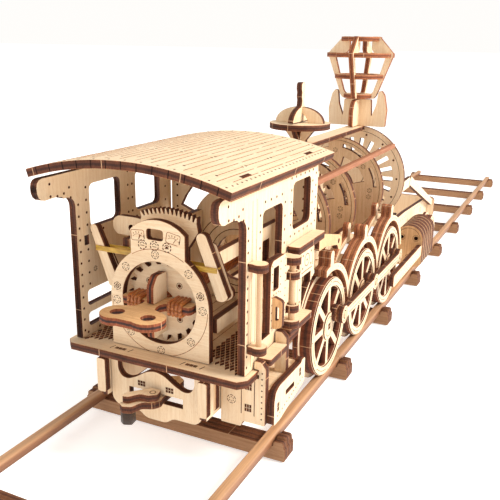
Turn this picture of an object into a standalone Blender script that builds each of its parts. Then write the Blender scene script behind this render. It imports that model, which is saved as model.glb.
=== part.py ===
"""A laser-cut plywood steam locomotive on its track, modelled in Blender.

All sizes are in millimetres; mm() turns them into metres as each mesh is made.
+Y is forward along the track, +X is the right-hand side, +Z is up, and the
origin is on the ground under the middle of the track.
Places along the locomotive are given as the distance forward of the rear edge
of the cab floor, which at_y() turns into world Y.
"""

from math import acos, asin, cos, pi, radians, sin, sqrt

import bmesh
import bpy
from mathutils import Matrix, Vector

# ---- driving dimensions (mm) ----
PLY = 3.0                      # plywood thickness
GAP = 0.3                      # clearance between neighbouring pieces

TRACK_REAR = -62.0             # distance of the track's rear end from the cab's rear edge
TRACK_LENGTH = 716.0
SLEEPER_COUNT = 10
SLEEPER_PITCH = 77.28
SLEEPER_WIDTH = 9.0
SLEEPER_HALF = 48.0
SLEEPER_TOP = 6.0
RAIL_X = 40.4                  # middle of a rail
RAIL_WIDTH = 4.4
RAIL_TOP = 9.8

WHEEL_RADIUS = 23.0
FLANGE_RADIUS = 25.0
WHEEL_OUTER_X = 42.5
WHEEL_INNER_X = 34.0
WHEEL_Z = RAIL_TOP + WHEEL_RADIUS + 0.2
WHEEL_YS = (84.0, 136.0, 188.0)
SPLASHER_INNER = 26.4
SPLASHER_OUTER = 29.6
CRANK_Y = 6.5                  # crank pin, forward of the hub
CRANK_Z = 4.5                  # crank pin, above the hub
AXLE_RADIUS = 2.6
PIN_RADIUS = 1.6
ROD_X = 46.3                   # middle of the coupling rod's thickness
PILOT_RADIUS = 12.0
PILOT_Y = 322.0
PILOT_Z = RAIL_TOP + PILOT_RADIUS + 0.2

FLOOR_TOP = 41.9
CAB_HALF = 40.0
CAB_FRONT = 76.3
WALL_OUTER_X = 37.8
WALL_TOP = 110.6
ROOF_HALF = 41.3
ROOF_REAR = -12.8
ROOF_FRONT = 83.0
ROOF_EAVE = 113.2
ROOF_CREST = 119.5

FRAME_X = 22.5                 # middle of each frame plate's thickness
FRAME_FRONT = 383.0
MOTOR_Z = 62.6                 # height of the winding shaft
BOILER_Z = 72.3
BOILER_RADIUS = 31.0
STRIP_TOP = BOILER_Z + BOILER_RADIUS + GAP + 2.6   # strip that carries the dome and chimney
RIB_YS = (112.0, 153.0, 208.0)
SMOKEBOX_Y = 250.0
CHIMNEY_Y = 248.0
DOME_Y = 146.0
DOOR_PIVOT = (42.2, 37.2)      # X, and distance from the cab's rear edge

MODEL_NAME = "plywood_locomotive"
TRACK_MIDDLE = TRACK_REAR + TRACK_LENGTH / 2


def mm(value):
    return value * 0.001


def at_y(distance):
    """World Y, in millimetres, of a place given from the cab floor's rear edge."""
    return distance - TRACK_MIDDLE


# ---- scene and collections ----
for old in list(bpy.data.objects):
    bpy.data.objects.remove(old, do_unlink=True)

parts = bpy.data.collections.new(MODEL_NAME)
bpy.context.scene.collection.children.link(parts)
cutters = bpy.data.collections.new("cutters")
cutters.hide_render = True
bpy.context.scene.collection.children.link(cutters)


def make_material(name, colour, roughness):
    material = bpy.data.materials.new(name)
    material.use_nodes = True
    shader = material.node_tree.nodes["Principled BSDF"]
    shader.inputs["Base Color"].default_value = (*colour, 1.0)
    shader.inputs["Roughness"].default_value = roughness
    shader.inputs["Metallic"].default_value = 0.0
    material.diffuse_color = (*colour, 1.0)
    return material


birch = make_material("birch_ply", (0.78, 0.62, 0.43), 0.62)
dark_birch = make_material("track_ply", (0.52, 0.36, 0.22), 0.66)
rubber = make_material("brown_rubber", (0.55, 0.20, 0.06), 0.5)

# The three planes a sheet can be cut in: the rotation that stands it up.
PLANES = {
    "flat": (0.0, 0.0, 0.0),                  # outline x, y run along X, Y
    "across": (pi / 2, 0.0, 0.0),             # outline x, y run along X, Z
    "along": (pi / 2, 0.0, pi / 2),           # outline x, y run along Y, Z
}


# ---- outlines ----
def arc(cx, cy, radius, start, end, steps):
    """Points on a circle from start to end, both in degrees."""
    angles = [radians(start + (end - start) * i / steps) for i in range(steps + 1)]
    return [(cx + radius * cos(a), cy + radius * sin(a)) for a in angles]


def circle(cx, cy, radius, steps=12):
    return arc(cx, cy, radius, 0, 360, steps)[:-1]


def rectangle(x0, y0, x1, y1, corner=0.0):
    """A rectangle, with quarter-round corners where a corner radius is given."""
    if not corner:
        return [(x0, y0), (x1, y0), (x1, y1), (x0, y1)]
    return (
        arc(x1 - corner, y0 + corner, corner, 270, 360, 2)
        + arc(x1 - corner, y1 - corner, corner, 0, 90, 2)
        + arc(x0 + corner, y1 - corner, corner, 90, 180, 2)
        + arc(x0 + corner, y0 + corner, corner, 180, 270, 2)
    )


def arc_slot(cx, cy, inner, outer, start, end, steps=5):
    """A curved slot between two radii."""
    return arc(cx, cy, outer, start, end, steps) + arc(cx, cy, inner, end, start, steps)


def mirrored(points):
    return [(-x, y) for x, y in reversed(points)]


# ---- solids ----
def sheet(name, loops, thickness, plane, middle, material=birch):
    """A flat plywood piece: outer loop first, then its holes, cut in the given plane."""
    curve = bpy.data.curves.new(name, "CURVE")
    curve.dimensions = "2D"
    curve.fill_mode = "BOTH"
    curve.extrude = mm(thickness / 2)
    for loop in loops:
        spline = curve.splines.new("POLY")
        spline.points.add(len(loop) - 1)
        for point, (x, y) in zip(spline.points, loop):
            point.co = (mm(x), mm(y), 0.0, 1.0)
        spline.use_cyclic_u = True
    obj = bpy.data.objects.new(name, curve)
    obj.location = [mm(v) for v in middle]
    obj.rotation_euler = PLANES[plane]
    curve.materials.append(material)
    parts.objects.link(obj)
    return obj


def flat_sheet(name, loops, z0, z1, material=birch):
    """A horizontal piece between two heights; its outline's y is measured from the cab."""
    return sheet(name, loops, z1 - z0, "flat", (0, at_y(0), (z0 + z1) / 2), material)


def cross_sheet(name, loops, y0, y1, material=birch):
    """A piece standing across the track between two distances from the cab."""
    return sheet(name, loops, y1 - y0, "across", (0, at_y((y0 + y1) / 2), 0), material)


def side_sheet(name, loops, x0, x1, material=birch):
    """A piece standing along the track between two X places."""
    return sheet(name, loops, abs(x1 - x0), "along", ((x0 + x1) / 2, at_y(0), 0), material)


def box(name, x0, x1, y0, y1, z0, z1, material=birch):
    """A plain block; its y is measured from the cab."""
    return flat_sheet(name, [rectangle(min(x0, x1), y0, max(x0, x1), y1)], z0, z1, material)


def round_bar(name, x0, x1, y, z, radius, steps=10, material=birch):
    """A round bar lying along X."""
    return side_sheet(name, [circle(y, z, radius, steps)], x0, x1, material)


def as_mesh(obj):
    """Turns a curve object into a closed mesh object in the same place."""
    if obj.type == "MESH":
        return obj
    bpy.context.view_layer.update()
    evaluated = obj.evaluated_get(bpy.context.evaluated_depsgraph_get())
    mesh = bpy.data.meshes.new_from_object(evaluated)
    work = bmesh.new()
    work.from_mesh(mesh)
    bmesh.ops.remove_doubles(work, verts=work.verts, dist=mm(0.001))
    work.to_mesh(mesh)
    work.free()
    name = obj.name
    place = obj.matrix_world.copy()
    bpy.data.objects.remove(obj, do_unlink=True)
    solid = bpy.data.objects.new(name, mesh)
    solid.matrix_world = place
    parts.objects.link(solid)
    return solid


def apply_boolean(target, tool, operation):
    """Joins the tool to the target, or cuts it away, with an exact Boolean."""
    target = as_mesh(target)
    tool = as_mesh(tool)
    parts.objects.unlink(tool)
    cutters.objects.link(tool)
    tool.hide_render = True
    tool.display_type = "WIRE"
    modifier = target.modifiers.new(operation.lower(), "BOOLEAN")
    modifier.operation = operation
    modifier.solver = "EXACT"
    modifier.object = tool
    return target


def join(target, *tools):
    for tool in tools:
        target = apply_boolean(target, tool, "UNION")
    return target


def cut(target, *tools):
    for tool in tools:
        target = apply_boolean(target, tool, "DIFFERENCE")
    return target


def move_origin(obj, x, y, z):
    """Puts the object's origin at the place of its joint, leaving its shape where it is."""
    obj = as_mesh(obj)
    bpy.context.view_layer.update()
    place = Vector((mm(x), mm(at_y(y)), mm(z)))
    obj.data.transform(Matrix.Translation(-place) @ obj.matrix_world)
    obj.matrix_world = Matrix.Translation(place)
    return obj


def sides():
    """The two sides of the locomotive: name and sign of X."""
    return (("left", -1), ("right", 1))


# ---- track ----
def sleeper_profile():
    """Section of a sleeper across the track, with a chair beside each rail."""
    chair_in = RAIL_X + RAIL_WIDTH / 2 - 0.2
    half = [
        (SLEEPER_HALF, 0),
        (SLEEPER_HALF, SLEEPER_TOP),
        (SLEEPER_HALF - 0.8, SLEEPER_TOP + PLY),
        (chair_in, SLEEPER_TOP + PLY),
        (chair_in, SLEEPER_TOP),
    ]
    return half + mirrored(half)


def rail(side):
    edge = RAIL_WIDTH / 2
    middle = side * RAIL_X
    return [
        (middle - edge, SLEEPER_TOP - 0.4),
        (middle + edge, SLEEPER_TOP - 0.4),
        (middle + edge, RAIL_TOP - 0.6),
        (middle + edge - 0.6, RAIL_TOP),
        (middle - edge + 0.6, RAIL_TOP),
        (middle - edge, RAIL_TOP - 0.6),
    ]


def track_section(name, first_sleeper, count, y0, y1):
    """Half of the track: two rail lengths glued on their sleepers."""
    section = None
    for index in range(first_sleeper, first_sleeper + count):
        start = TRACK_REAR + 5.57 + index * SLEEPER_PITCH
        sleeper = cross_sheet(
            f"{name}_sleeper_{index}", [sleeper_profile()], start, start + SLEEPER_WIDTH, dark_birch
        )
        if section is None:
            section = as_mesh(cross_sheet(name, [rail(-1)], y0, y1, dark_birch))
            section = join(section, cross_sheet(f"{name}_rail", [rail(1)], y0, y1, dark_birch))
        section = join(section, sleeper)
    return section


def build_track():
    half = SLEEPER_COUNT // 2
    middle = TRACK_REAR + TRACK_LENGTH / 2
    track_section("track_section_rear", 0, half, TRACK_REAR, middle - GAP / 2)
    track_section("track_section_front", half, half, middle + GAP / 2, TRACK_REAR + TRACK_LENGTH)


# ---- main frame ----
def frame_outline():
    """Side view of a frame plate, from the rear buffer to the front beam."""
    top = FLOOR_TOP - PLY - GAP
    return [
        (1.5, 22.0),
        (FRAME_FRONT - 8, 16.0),
        (FRAME_FRONT, 22.0),
        (FRAME_FRONT, top - 4),
        (FRAME_FRONT - 80, top),
        (3.5, top),
        (1.5, top - 2),
    ]


def frame_holes():
    holes = [circle(y, WHEEL_Z, AXLE_RADIUS + 0.5) for y in WHEEL_YS]
    holes.append(circle(PILOT_Y, PILOT_Z, AXLE_RADIUS + 0.5))
    return holes


def build_frame():
    for side_name, sign in sides():
        inner = sign * (FRAME_X - PLY / 2)
        outer = sign * (FRAME_X + PLY / 2)
        side_sheet(f"frame_plate_{side_name}", [frame_outline()] + frame_holes(), inner, outer)


def rear_beam_outline():
    """The rear beam, its top edge cut in a double wave."""
    top = FLOOR_TOP - PLY - GAP
    half = [(-20.6, 20.0), (-18.0, 17.4), (-8.0, 17.4), (-4.5, 14.6)]
    wave = [
        (-20.6, top), (-17.6, top), (-17.6, 33.5), (-15.5, 30.6), (-12.5, 30.0),
        (-8.5, 32.0), (-4.0, 35.0), (0.0, 36.0),
    ]
    right_wave = [(-x, z) for x, z in wave]
    return half + mirrored(half) + right_wave + list(reversed(wave[:-1]))


def build_rear_beam():
    left = rear_beam_outline()
    slot = rectangle(-12.5, 22.6, 12.5, 27.0)
    cross_sheet("rear_beam", [left, slot], 4.0, 4.0 + PLY)


def build_front_beam():
    """Front beam with its platform and the slatted cowcatcher."""
    beam = cross_sheet(
        "front_beam", [rectangle(-30, 18, 30, 35, 3)], FRAME_FRONT + GAP, FRAME_FRONT + GAP + PLY
    )
    wedge = [(-27, 388), (27, 388), (8, 403), (-8, 403)]
    pilot = flat_sheet("pilot_base", [wedge], 11.0, 14.0)
    slats = []
    for x in (-24, -16, -8, 0, 8, 16, 24):
        reach = 402 - max(0, abs(x) - 8) * 0.72
        outline = [(385.5, 12), (reach, 12), (reach - 2, 15), (387.5, 33), (385.5, 33)]
        slats.append(side_sheet(f"pilot_slat_{x}", [outline], x - 1.4, x + 1.4))
    join(beam, pilot, *slats)


# ---- cab ----
def cab_floor_outline():
    corner = 3.0
    half = [
        (CAB_HALF - corner, 0.0),
        (CAB_HALF, corner),
        (CAB_HALF, 11.6),
        (WALL_OUTER_X + 0.4, 11.6),
        (WALL_OUTER_X + 0.4, 56.0),
        (WHEEL_INNER_X - 0.8, 56.0),
        (WHEEL_INNER_X - 0.8, CAB_FRONT),
    ]
    return half + mirrored(half)


def grille(sign):
    """A triangle of diamond openings beside the backhead."""
    holes = []
    for row in range(5):
        for column in range(3):
            x = 25.2 + column * 3.4 + (row % 2) * 1.7
            y = 8.0 + row * 4.6
            if x > 33.6:
                continue
            diamond = [(x - 1.2, y), (x, y - 1.9), (x + 1.2, y), (x, y + 1.9)]
            holes.append([(sign * px, py) for px, py in diamond])
    return holes


def build_cab_floor():
    loops = [cab_floor_outline()] + grille(-1) + grille(1)
    flat_sheet("cab_floor", loops, FLOOR_TOP - PLY, FLOOR_TOP)


def wall_outline():
    """Side view of a cab wall, with the bracket that carries the roof's overhang."""
    bottom = FLOOR_TOP + GAP
    bracket = arc(-6.5, 103.8, 4.0, 100, 270, 5)
    fillet = arc(0.5, 94.6, 4.5, 80, 0, 4)
    clear = SPLASHER_OUTER + 0.4
    low = asin((bottom - WHEEL_Z) / clear) * 180 / pi
    high = acos((WHEEL_YS[0] - 73.0) / clear) * 180 / pi
    wheel_arch = arc(WHEEL_YS[0], WHEEL_Z, clear, 180 - low, 180 - high, 6)
    return (
        [(5.0, bottom)] + wheel_arch + [(73.0, WALL_TOP), (-7.2, WALL_TOP)]
        + bracket
        + [(-1.5, 100.4)]
        + fillet
    )


def right_wall_holes():
    doorway = rectangle(18.0, 50.5, 36.0, 100.5, 2.5)
    window = rectangle(46.0, 87.0, 65.0, 106.0, 2.5)
    return [doorway, window]


def left_wall_holes():
    return [
        rectangle(13.5, 86.3, 33.5, 104.0, 2.5),
        rectangle(44.5, 87.0, 63.5, 104.0, 2.5),
        rectangle(9.5, 54.6, 36.0, 61.2, 1.5),
        rectangle(9.5, 45.8, 36.0, 51.6, 1.5),
        rectangle(9.2, 80.0, 12.0, 84.0),
    ]


def build_cab_walls():
    inner = WALL_OUTER_X - PLY
    side_sheet("cab_wall_left", [wall_outline()] + left_wall_holes(), -WALL_OUTER_X, -inner)
    side_sheet("cab_wall_right", [wall_outline()] + right_wall_holes(), inner, WALL_OUTER_X)


def roof_radius():
    rise = ROOF_CREST - ROOF_EAVE
    return (ROOF_HALF ** 2 + rise ** 2) / (2 * rise)


def roof_centre_z():
    return ROOF_CREST - roof_radius()


def build_roof():
    """The roof is one sheet bent over the walls, drawn in section and run along the cab."""
    radius = roof_radius()
    reach = asin(ROOF_HALF / radius) * 180 / pi
    outer = arc(0, roof_centre_z(), radius, 90 - reach, 90 + reach, 14)
    inner = arc(0, roof_centre_z(), radius - PLY, 90 + reach, 90 - reach, 14)
    cross_sheet("cab_roof", [outer + inner], ROOF_REAR, ROOF_FRONT)


def build_bulkhead():
    """Front wall of the cab, arched under the roof, open in the middle for the motor."""
    radius = roof_radius() - PLY - 0.8
    half = WALL_OUTER_X - PLY - GAP
    reach = asin(half / radius) * 180 / pi
    top = arc(0, roof_centre_z(), radius, 90 - reach, 90 + reach, 10)
    foot, notch, step = FLOOR_TOP + GAP, WHEEL_INNER_X - 0.8, 64.0
    outline = [(-half, step), (-notch, step), (-notch, foot), (notch, foot), (notch, step), (half, step)]
    outline += top
    holes = [circle(0, MOTOR_Z, 11, 20)]
    for start, end in ((22, 78), (102, 158)):
        holes.append(arc_slot(0, BOILER_Z, 24, 32, start, end, 6))
    cross_sheet("cab_bulkhead", [outline] + holes, CAB_FRONT - PLY, CAB_FRONT - GAP)


def backhead_outline():
    """The rear plate of the boiler: square foot, round shoulders and a gauge panel on top."""
    ring = 21.8
    panel = 11.8
    shoulder = asin(panel / ring) * 180 / pi
    right = arc(0, MOTOR_Z, ring, 0, 90 - shoulder, 6)
    top = arc(0, 78.0, 17.0, 46, 134, 6)
    left = arc(0, MOTOR_Z, ring, 90 + shoulder, 180, 6)
    foot = FLOOR_TOP + GAP
    return [(-ring, foot), (ring, foot)] + right + top + left


def build_backhead():
    gauge_window = rectangle(-4.6, 87.2, 2.6, 91.4, 1.0)
    loops = [backhead_outline(), circle(0, MOTOR_Z, 16.4, 28), gauge_window]
    cross_sheet("backhead", loops, 7.6, 7.6 + PLY)


def quadrant_outline():
    """A toothed sector standing just behind the gauge panel."""
    inner = arc(0, MOTOR_Z, 22.0, 112, 68, 4)
    teeth = []
    count = 11
    span = 44.0
    for index in range(count):
        start = 68 + span * index / count
        step = span / count
        for offset, radius in ((0.1, 33.2), (0.3, 35.2), (0.6, 35.2), (0.85, 33.2)):
            angle = radians(start + step * offset)
            teeth.append((radius * cos(angle), MOTOR_Z + radius * sin(angle)))
    return inner + [(12.9, 90.0)] + teeth + [(-12.9, 90.0)]


def build_quadrant():
    cross_sheet("toothed_quadrant", [quadrant_outline()], 15.4, 15.4 + PLY)


def build_side_steps():
    """Footsteps on the door side: two cross brackets, a shelf, treads and an outer plate."""
    rear = [(24.4, 17.0), (33, 17.0), (34, 19.4), (43.2, 19.4), (43.2, 43.0), (41.0, 45.6),
            (38.2, 45.6), (38.2, 42.2), (40.4, 42.2), (40.4, 38.6), (24.4, 38.6)]
    front = [(38.2, 30.5), (43.2, 30.5), (43.2, 48.0), (41.0, 50.2), (38.2, 50.2)]
    step = cross_sheet("side_step_right", [rear], 12.0, 15.0)
    bracket = cross_sheet("step_bracket", [front], 31.0, 34.0)
    shelf = box("step_shelf", 30.0, 45.0, 14.8, 44.0, 30.0, 33.0)
    low = box("step_tread", 38.2, 43.6, 14.8, 31.4, 43.0, 45.6)
    high = box("step_board", 38.2, 43.6, 33.8, 58.0, 47.4, 50.2)
    edge = [(14.0, 19.4), (44.5, 26.0), (44.5, 35.0), (39.0, 35.6), (35.0, 31.6), (25.0, 31.6)]
    edge += [(21.0, 34.6), (16.5, 33.0), (14.0, 28.0)]
    plate = side_sheet("step_plate", [edge], 43.1, 46.1)
    join(step, shelf, plate, bracket, low, high)


def hand_rail(name, sign, y, z0, z1):
    """An upright post held off the cab wall by a rounded lug at each end."""
    x_mid = 41.4
    lug = arc(x_mid, y, 3.2, -90, 90, 6) + [(38.1, y + 3.2), (38.1, y - 3.2)]
    lug = [(sign * x, py) for x, py in lug]
    post = box(name, sign * (x_mid - 1.2), sign * (x_mid + 1.2), y - 1.2, y + 1.2, z0 + 1, z1 - 1)
    bottom = flat_sheet(f"{name}_bottom", [lug], z0, z0 + PLY)
    top = flat_sheet(f"{name}_top", [lug], z1 - PLY, z1)
    return join(post, bottom, top)


def build_hand_rails():
    hand_rail("grab_rail_right", 1, 8.6, 50.4, 84.6)


def build_door_post():
    """The post that the cab door swings on, with its two rounded lugs."""
    x, y = DOOR_PIVOT
    lug = arc(x, y, 3.0, -90, 90, 6) + [(38.1, y + 3.0), (38.1, y - 1.0)]
    post = flat_sheet("door_post", [circle(x, y, 1.4, 12)], 51.5, 78.5)
    bottom = flat_sheet("door_post_bottom", [lug], 50.6, 53.6)
    top = flat_sheet("door_post_top", [lug], 76.6, 79.6)
    join(post, bottom, top)


def build_cab_door():
    """Half-height door: a leaf with a small window, two knuckles and a pull plate."""
    x, y = DOOR_PIVOT
    leaf_loops = [rectangle(18.6, 54.0, 33.4, 82.0), rectangle(21.0, 70.0, 26.0, 79.0)]
    leaf = side_sheet("cab_door", leaf_loops, 38.2, 38.2 + PLY)
    knuckle = arc(x, y, 2.9, -90, 180, 9) + [(40.0, y - 2.9), (39.0, 32.0), (41.0, 32.0)]
    eye = circle(x, y, 1.8, 12)
    lower = flat_sheet("door_knuckle_lower", [knuckle, eye], 57.0, 60.0)
    upper = flat_sheet("door_knuckle_upper", [knuckle, eye], 70.6, 73.6)
    pull = cross_sheet("door_pull", [rectangle(41.0, 55.0, 45.4, 68.5, 1.2)], 20.6, 22.6)
    door = join(leaf, lower, upper, pull)
    move_origin(door, x, y, 50.0)


def build_window_ledge():
    """A ledge under the front window and a blank name board below it."""
    ledge = box("window_ledge", 38.1, 43.4, 40.5, 70.0, 79.0, 82.0)
    board = box("name_board", 38.1, 40.8, 48.0, 64.0, 66.5, 79.4)
    join(ledge, board)


# ---- spring motor ----
def build_inner_frames():
    """Two bars on each side, joined at the front, that hold the motor inside the cab."""
    for side_name, sign in sides():
        outline = [
            (15.2, 77.8), (62.0, 77.8), (62.0, 57.2), (15.2, 57.2), (15.2, 51.6),
            (72.6, 51.6), (72.6, 83.4), (15.2, 83.4),
        ]
        side_sheet(f"inner_frame_{side_name}", [outline], sign * 18.0, sign * 21.0)


def toothed_disc(cx, cy, root, tip, teeth, phase=0.0):
    """Outline of a gear with plain tapered teeth."""
    points = []
    step = 360.0 / teeth
    for index in range(teeth):
        for offset, radius in ((-0.30, root), (-0.14, tip), (0.14, tip), (0.30, root)):
            angle = radians(phase + step * (index + offset))
            points.append((cx + radius * cos(angle), cy + radius * sin(angle)))
    return points


def key_outline():
    """Plan of the winding key: two ringed lobes, a waist and two arms for the bands."""
    right = (
        arc(6.6, -9.2, 6.4, -120, 60, 7)
        + [(3.6, 0.5), (4.6, 5.5), (15.2, 5.2), (15.2, 10.6), (3.4, 11.3)]
    )
    return right + mirrored(right)


def build_winding_key():
    """The key crosses an upright plate, and both turn with the ratchet wheel."""
    holes = [circle(6.6, -9.2, 2.7, 12), circle(-6.6, -9.2, 2.7, 12)]
    key = flat_sheet("winding_key", [key_outline()] + holes, MOTOR_Z - PLY / 2, MOTOR_Z + PLY / 2)
    upright = [(2.0, 50.6), (11.3, 50.6), (11.3, 74.6), (5.0, 74.6), (2.0, 70.0)]
    fin = side_sheet("key_fin", [upright], -PLY / 2, PLY / 2)
    key = join(key, fin)
    move_origin(key, 0, 0, MOTOR_Z)


def build_ratchet_wheel():
    loops = [toothed_disc(0, MOTOR_Z, 14.4, 16.8, 20), circle(0, MOTOR_Z, 4.0, 12)]
    for index in range(4):
        angle = radians(45 + 90 * index)
        loops.append(circle(9.6 * cos(angle), MOTOR_Z + 9.6 * sin(angle), 1.0, 8))
    wheel = cross_sheet("ratchet_wheel", loops, 11.8, 11.8 + PLY)
    move_origin(wheel, 0, 13.3, MOTOR_Z)


def build_rubber_motor():
    """The twisted bundle of rubber bands between the key and the front hook."""
    points = [(0, 15.2), (0, 60.0), (0, 120.0), (0, 203.0)]
    curve = bpy.data.curves.new("rubber_motor", "CURVE")
    curve.dimensions = "3D"
    curve.bevel_depth = mm(3.2)
    curve.bevel_resolution = 2
    curve.use_fill_caps = True
    spline = curve.splines.new("POLY")
    spline.points.add(len(points) - 1)
    for point, (x, y) in zip(spline.points, points):
        point.co = (mm(x), mm(at_y(y)), mm(MOTOR_Z), 1.0)
    curve.materials.append(rubber)
    parts.objects.link(bpy.data.objects.new("rubber_motor", curve))


def build_front_hook():
    """The driven shaft at the front end of the bands, with its gear."""
    loops = [toothed_disc(0, MOTOR_Z, 9.0, 11.2, 16), rectangle(-1.4, MOTOR_Z - 1.4, 1.4, MOTOR_Z + 1.4)]
    gear = cross_sheet("output_gear", loops, 203.3, 203.3 + PLY)
    move_origin(gear, 0, 204.8, MOTOR_Z)


def build_boiler_gear():
    """The large spur gear between the first two ribs, on a cross shaft."""
    centre_y, centre_z = 132.0, 78.0
    loops = [toothed_disc(centre_y, centre_z, 14.6, 17.2, 20)]
    for index in range(6):
        start = 60 * index + 10
        loops.append(arc_slot(centre_y, centre_z, 6.5, 11.5, start, start + 40, 2))
    gear = side_sheet("boiler_gear", loops, 12.0, 15.0)
    shaft = round_bar("boiler_gear_shaft", -14.0, 18.0, centre_y, centre_z, 2.4, 10)
    second = side_sheet("boiler_gear_left", [toothed_disc(centre_y, centre_z, 9.0, 11.4, 12)], -12.0, -9.0)
    gear = join(gear, shaft, second)
    move_origin(gear, 0, centre_y, centre_z)


def build_pawl_levers():
    """Two stop levers leaning the same way, one each side of the backhead."""
    for side_name, x, lean in (("left", -24.4, -1), ("right", 24.4, -1)):
        top_x = x + lean * 8.0
        dx, dz = top_x - x, 20.0
        length = sqrt(dx * dx + dz * dz)
        nx, nz = dz / length * 2.4, -dx / length * 2.4
        z0 = 69.5 if side_name == "right" else 67.5
        outline = [
            (x + nx, z0 + nz),
            (top_x + nx, z0 + dz + nz),
            (top_x, z0 + dz + 2.0),
            (top_x - nx, z0 + dz - nz),
            (x - nx, z0 - nz),
        ]
        outline += arc(x, z0, 3.4, 205, 340, 5)
        lever = cross_sheet(f"pawl_lever_{side_name}", [outline], 11.4, 11.4 + PLY)
        move_origin(lever, x, 12.9, z0)


# ---- boiler ----
def rib_outline(radius):
    start = -asin((BOILER_Z - FLOOR_TOP) / radius) * 180 / pi
    return arc(0, BOILER_Z, radius, start, 180 - start, 28)


def rib_holes():
    holes = [circle(0, MOTOR_Z, 6.5, 14)]
    for start, end in ((5, 32), (48, 80), (100, 132), (148, 175)):
        holes.append(arc_slot(0, BOILER_Z, 25.0, 27.6, start, end, 3))
    for start, end in ((15, 75), (105, 165)):
        holes.append(arc_slot(0, BOILER_Z, 12.0, 20.0, start, end, 4))
    return holes


def build_boiler_ribs():
    for name, y in zip(("rear", "middle", "front"), RIB_YS):
        loops = [rib_outline(BOILER_RADIUS)] + rib_holes()
        cross_sheet(f"boiler_rib_{name}", loops, y - PLY / 2, y + PLY / 2)


def build_smokebox():
    """The smokebox front plate: a ring of radial slots round a solid centre."""
    slots = []
    for index in range(22):
        angle = 360.0 / 22 * index
        spread_in, spread_out = 4.2, 3.2
        slots.append([
            (17.0 * cos(radians(angle - spread_in)), BOILER_Z + 17.0 * sin(radians(angle - spread_in))),
            (26.0 * cos(radians(angle - spread_out)), BOILER_Z + 26.0 * sin(radians(angle - spread_out))),
            (26.0 * cos(radians(angle + spread_out)), BOILER_Z + 26.0 * sin(radians(angle + spread_out))),
            (17.0 * cos(radians(angle + spread_in)), BOILER_Z + 17.0 * sin(radians(angle + spread_in))),
        ])
    outline = arc(0, BOILER_Z, BOILER_RADIUS + 2.5, -60, 240, 28)
    cross_sheet("smokebox_ring", [outline] + slots, SMOKEBOX_Y, SMOKEBOX_Y + PLY)


def build_longerons():
    """Long strips laid along the ribs from the cab to the smokebox."""
    angle = radians(41)
    radius = BOILER_RADIUS + GAP + 1.6
    for side_name, sign in sides():
        x = sign * radius * cos(angle)
        z = BOILER_Z + radius * sin(angle)
        box(f"longeron_{side_name}", x - 1.5, x + 1.5, CAB_FRONT + GAP, SMOKEBOX_Y - GAP, z - 1.0, z + 2.0)


def build_dome():
    """Steam dome: a round plate with two crossed half discs and a finial, on a saddle."""
    base = STRIP_TOP + GAP
    plate = flat_sheet("steam_dome", [circle(0, DOME_Y, 16.0, 24)], 114.6, 114.6 + PLY)

    def side_view(finial):
        top = [(1.6, 128.6), (1.6, 131.0), (2.6, 133.4), (1.2, 136.7)] if finial else [(3.0, 128.4)]
        half = [(4.0, base), (4.0, 108.5), (9.0, 115.0), (13.4, 117.0)]
        half += [(13.4 * cos(radians(a)), 117.0 + 11.6 * sin(radians(a))) for a in (18, 45, 70)]
        return half + top

    across = side_view(False)
    along = [(y, z) for y, z in side_view(True)]
    crossing = cross_sheet("dome_cross", [across + mirrored(across)], DOME_Y - 1.5, DOME_Y + 1.5)
    loop = along + mirrored(along)
    fin = side_sheet("dome_fin", [[(y + DOME_Y, z) for y, z in loop]], -PLY / 2, PLY / 2)
    join(plate, crossing, fin)


def build_chimney():
    """Chimney: crossed plates with side wings on a long strip, then a basket of fins and rings."""
    base = STRIP_TOP - 0.8
    wing = [(19.0, base), (19.5, 117.0), (16.4, 129.0), (13.4, 129.4), (12.6, 120.0)]
    wing += [(9.5, 112.0), (9.0, 123.6)]
    column = cross_sheet("chimney_base", [wing + mirrored(wing)], CHIMNEY_Y - 1.5, CHIMNEY_Y + 1.5)
    along = [(14.0, base + 1.2), (14.0, 112.0), (8.6, 116.0), (8.6, 123.2)]
    loop = along + mirrored(along)
    blade = side_sheet("chimney_blade", [[(y + CHIMNEY_Y, z) for y, z in loop]], -1.5, 1.5)
    strip = box("chimney_strip", -5.0, 5.0, RIB_YS[0] - 1.5, SMOKEBOX_Y - GAP, STRIP_TOP - 2.6, STRIP_TOP)
    join(column, blade, strip)

    def basket(offset):
        half = [(10.4, 124.0), (12.0, 126.0), (21.4, 151.0), (11.6, 162.4), (7.0, 162.4)]
        outline = [(x + offset, z) for x, z in half + mirrored(half)]
        holes = []
        for sign in (-1, 1):
            lower = [(1.5, 127.2), (9.6, 127.2), (13.0, 136.0), (1.5, 136.0)]
            upper = [(1.5, 139.2), (14.2, 139.2), (17.6, 149.4), (1.5, 149.4)]
            crown = [(1.5, 152.8), (15.6, 152.8), (10.0, 159.6), (1.5, 159.6)]
            for hole in (lower, upper, crown):
                holes.append([(sign * x + offset, z) for x, z in hole])
        return [outline] + holes

    funnel = cross_sheet("chimney_funnel", basket(0), CHIMNEY_Y - 1.5, CHIMNEY_Y + 1.5)
    other = side_sheet("funnel_along", basket(CHIMNEY_Y), -1.5, 1.5)
    rings = []
    for z, outer, inner in ((136.2, 15.9, 12.2), (149.6, 21.6, 17.0), (159.6, 12.8, 9.4)):
        ring = [circle(0, CHIMNEY_Y, outer, 8), circle(0, CHIMNEY_Y, inner, 8)]
        rings.append(flat_sheet(f"funnel_ring_{int(z)}", ring, z, z + 2.8))
    join(funnel, other, *rings)


# ---- running gear ----
def wheel_holes(hub, rim, spokes):
    """Openings between the spokes of a wheel centred on its hub."""
    holes = []
    step = 360.0 / spokes
    inner_margin, outer_margin = 13.0, 5.0
    for index in range(spokes):
        start = step * index
        holes.append(
            arc(0, 0, rim, start + outer_margin, start + step - outer_margin, 2)
            + arc(0, 0, hub, start + step - inner_margin, start + inner_margin, 1)
        )
    return holes


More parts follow.
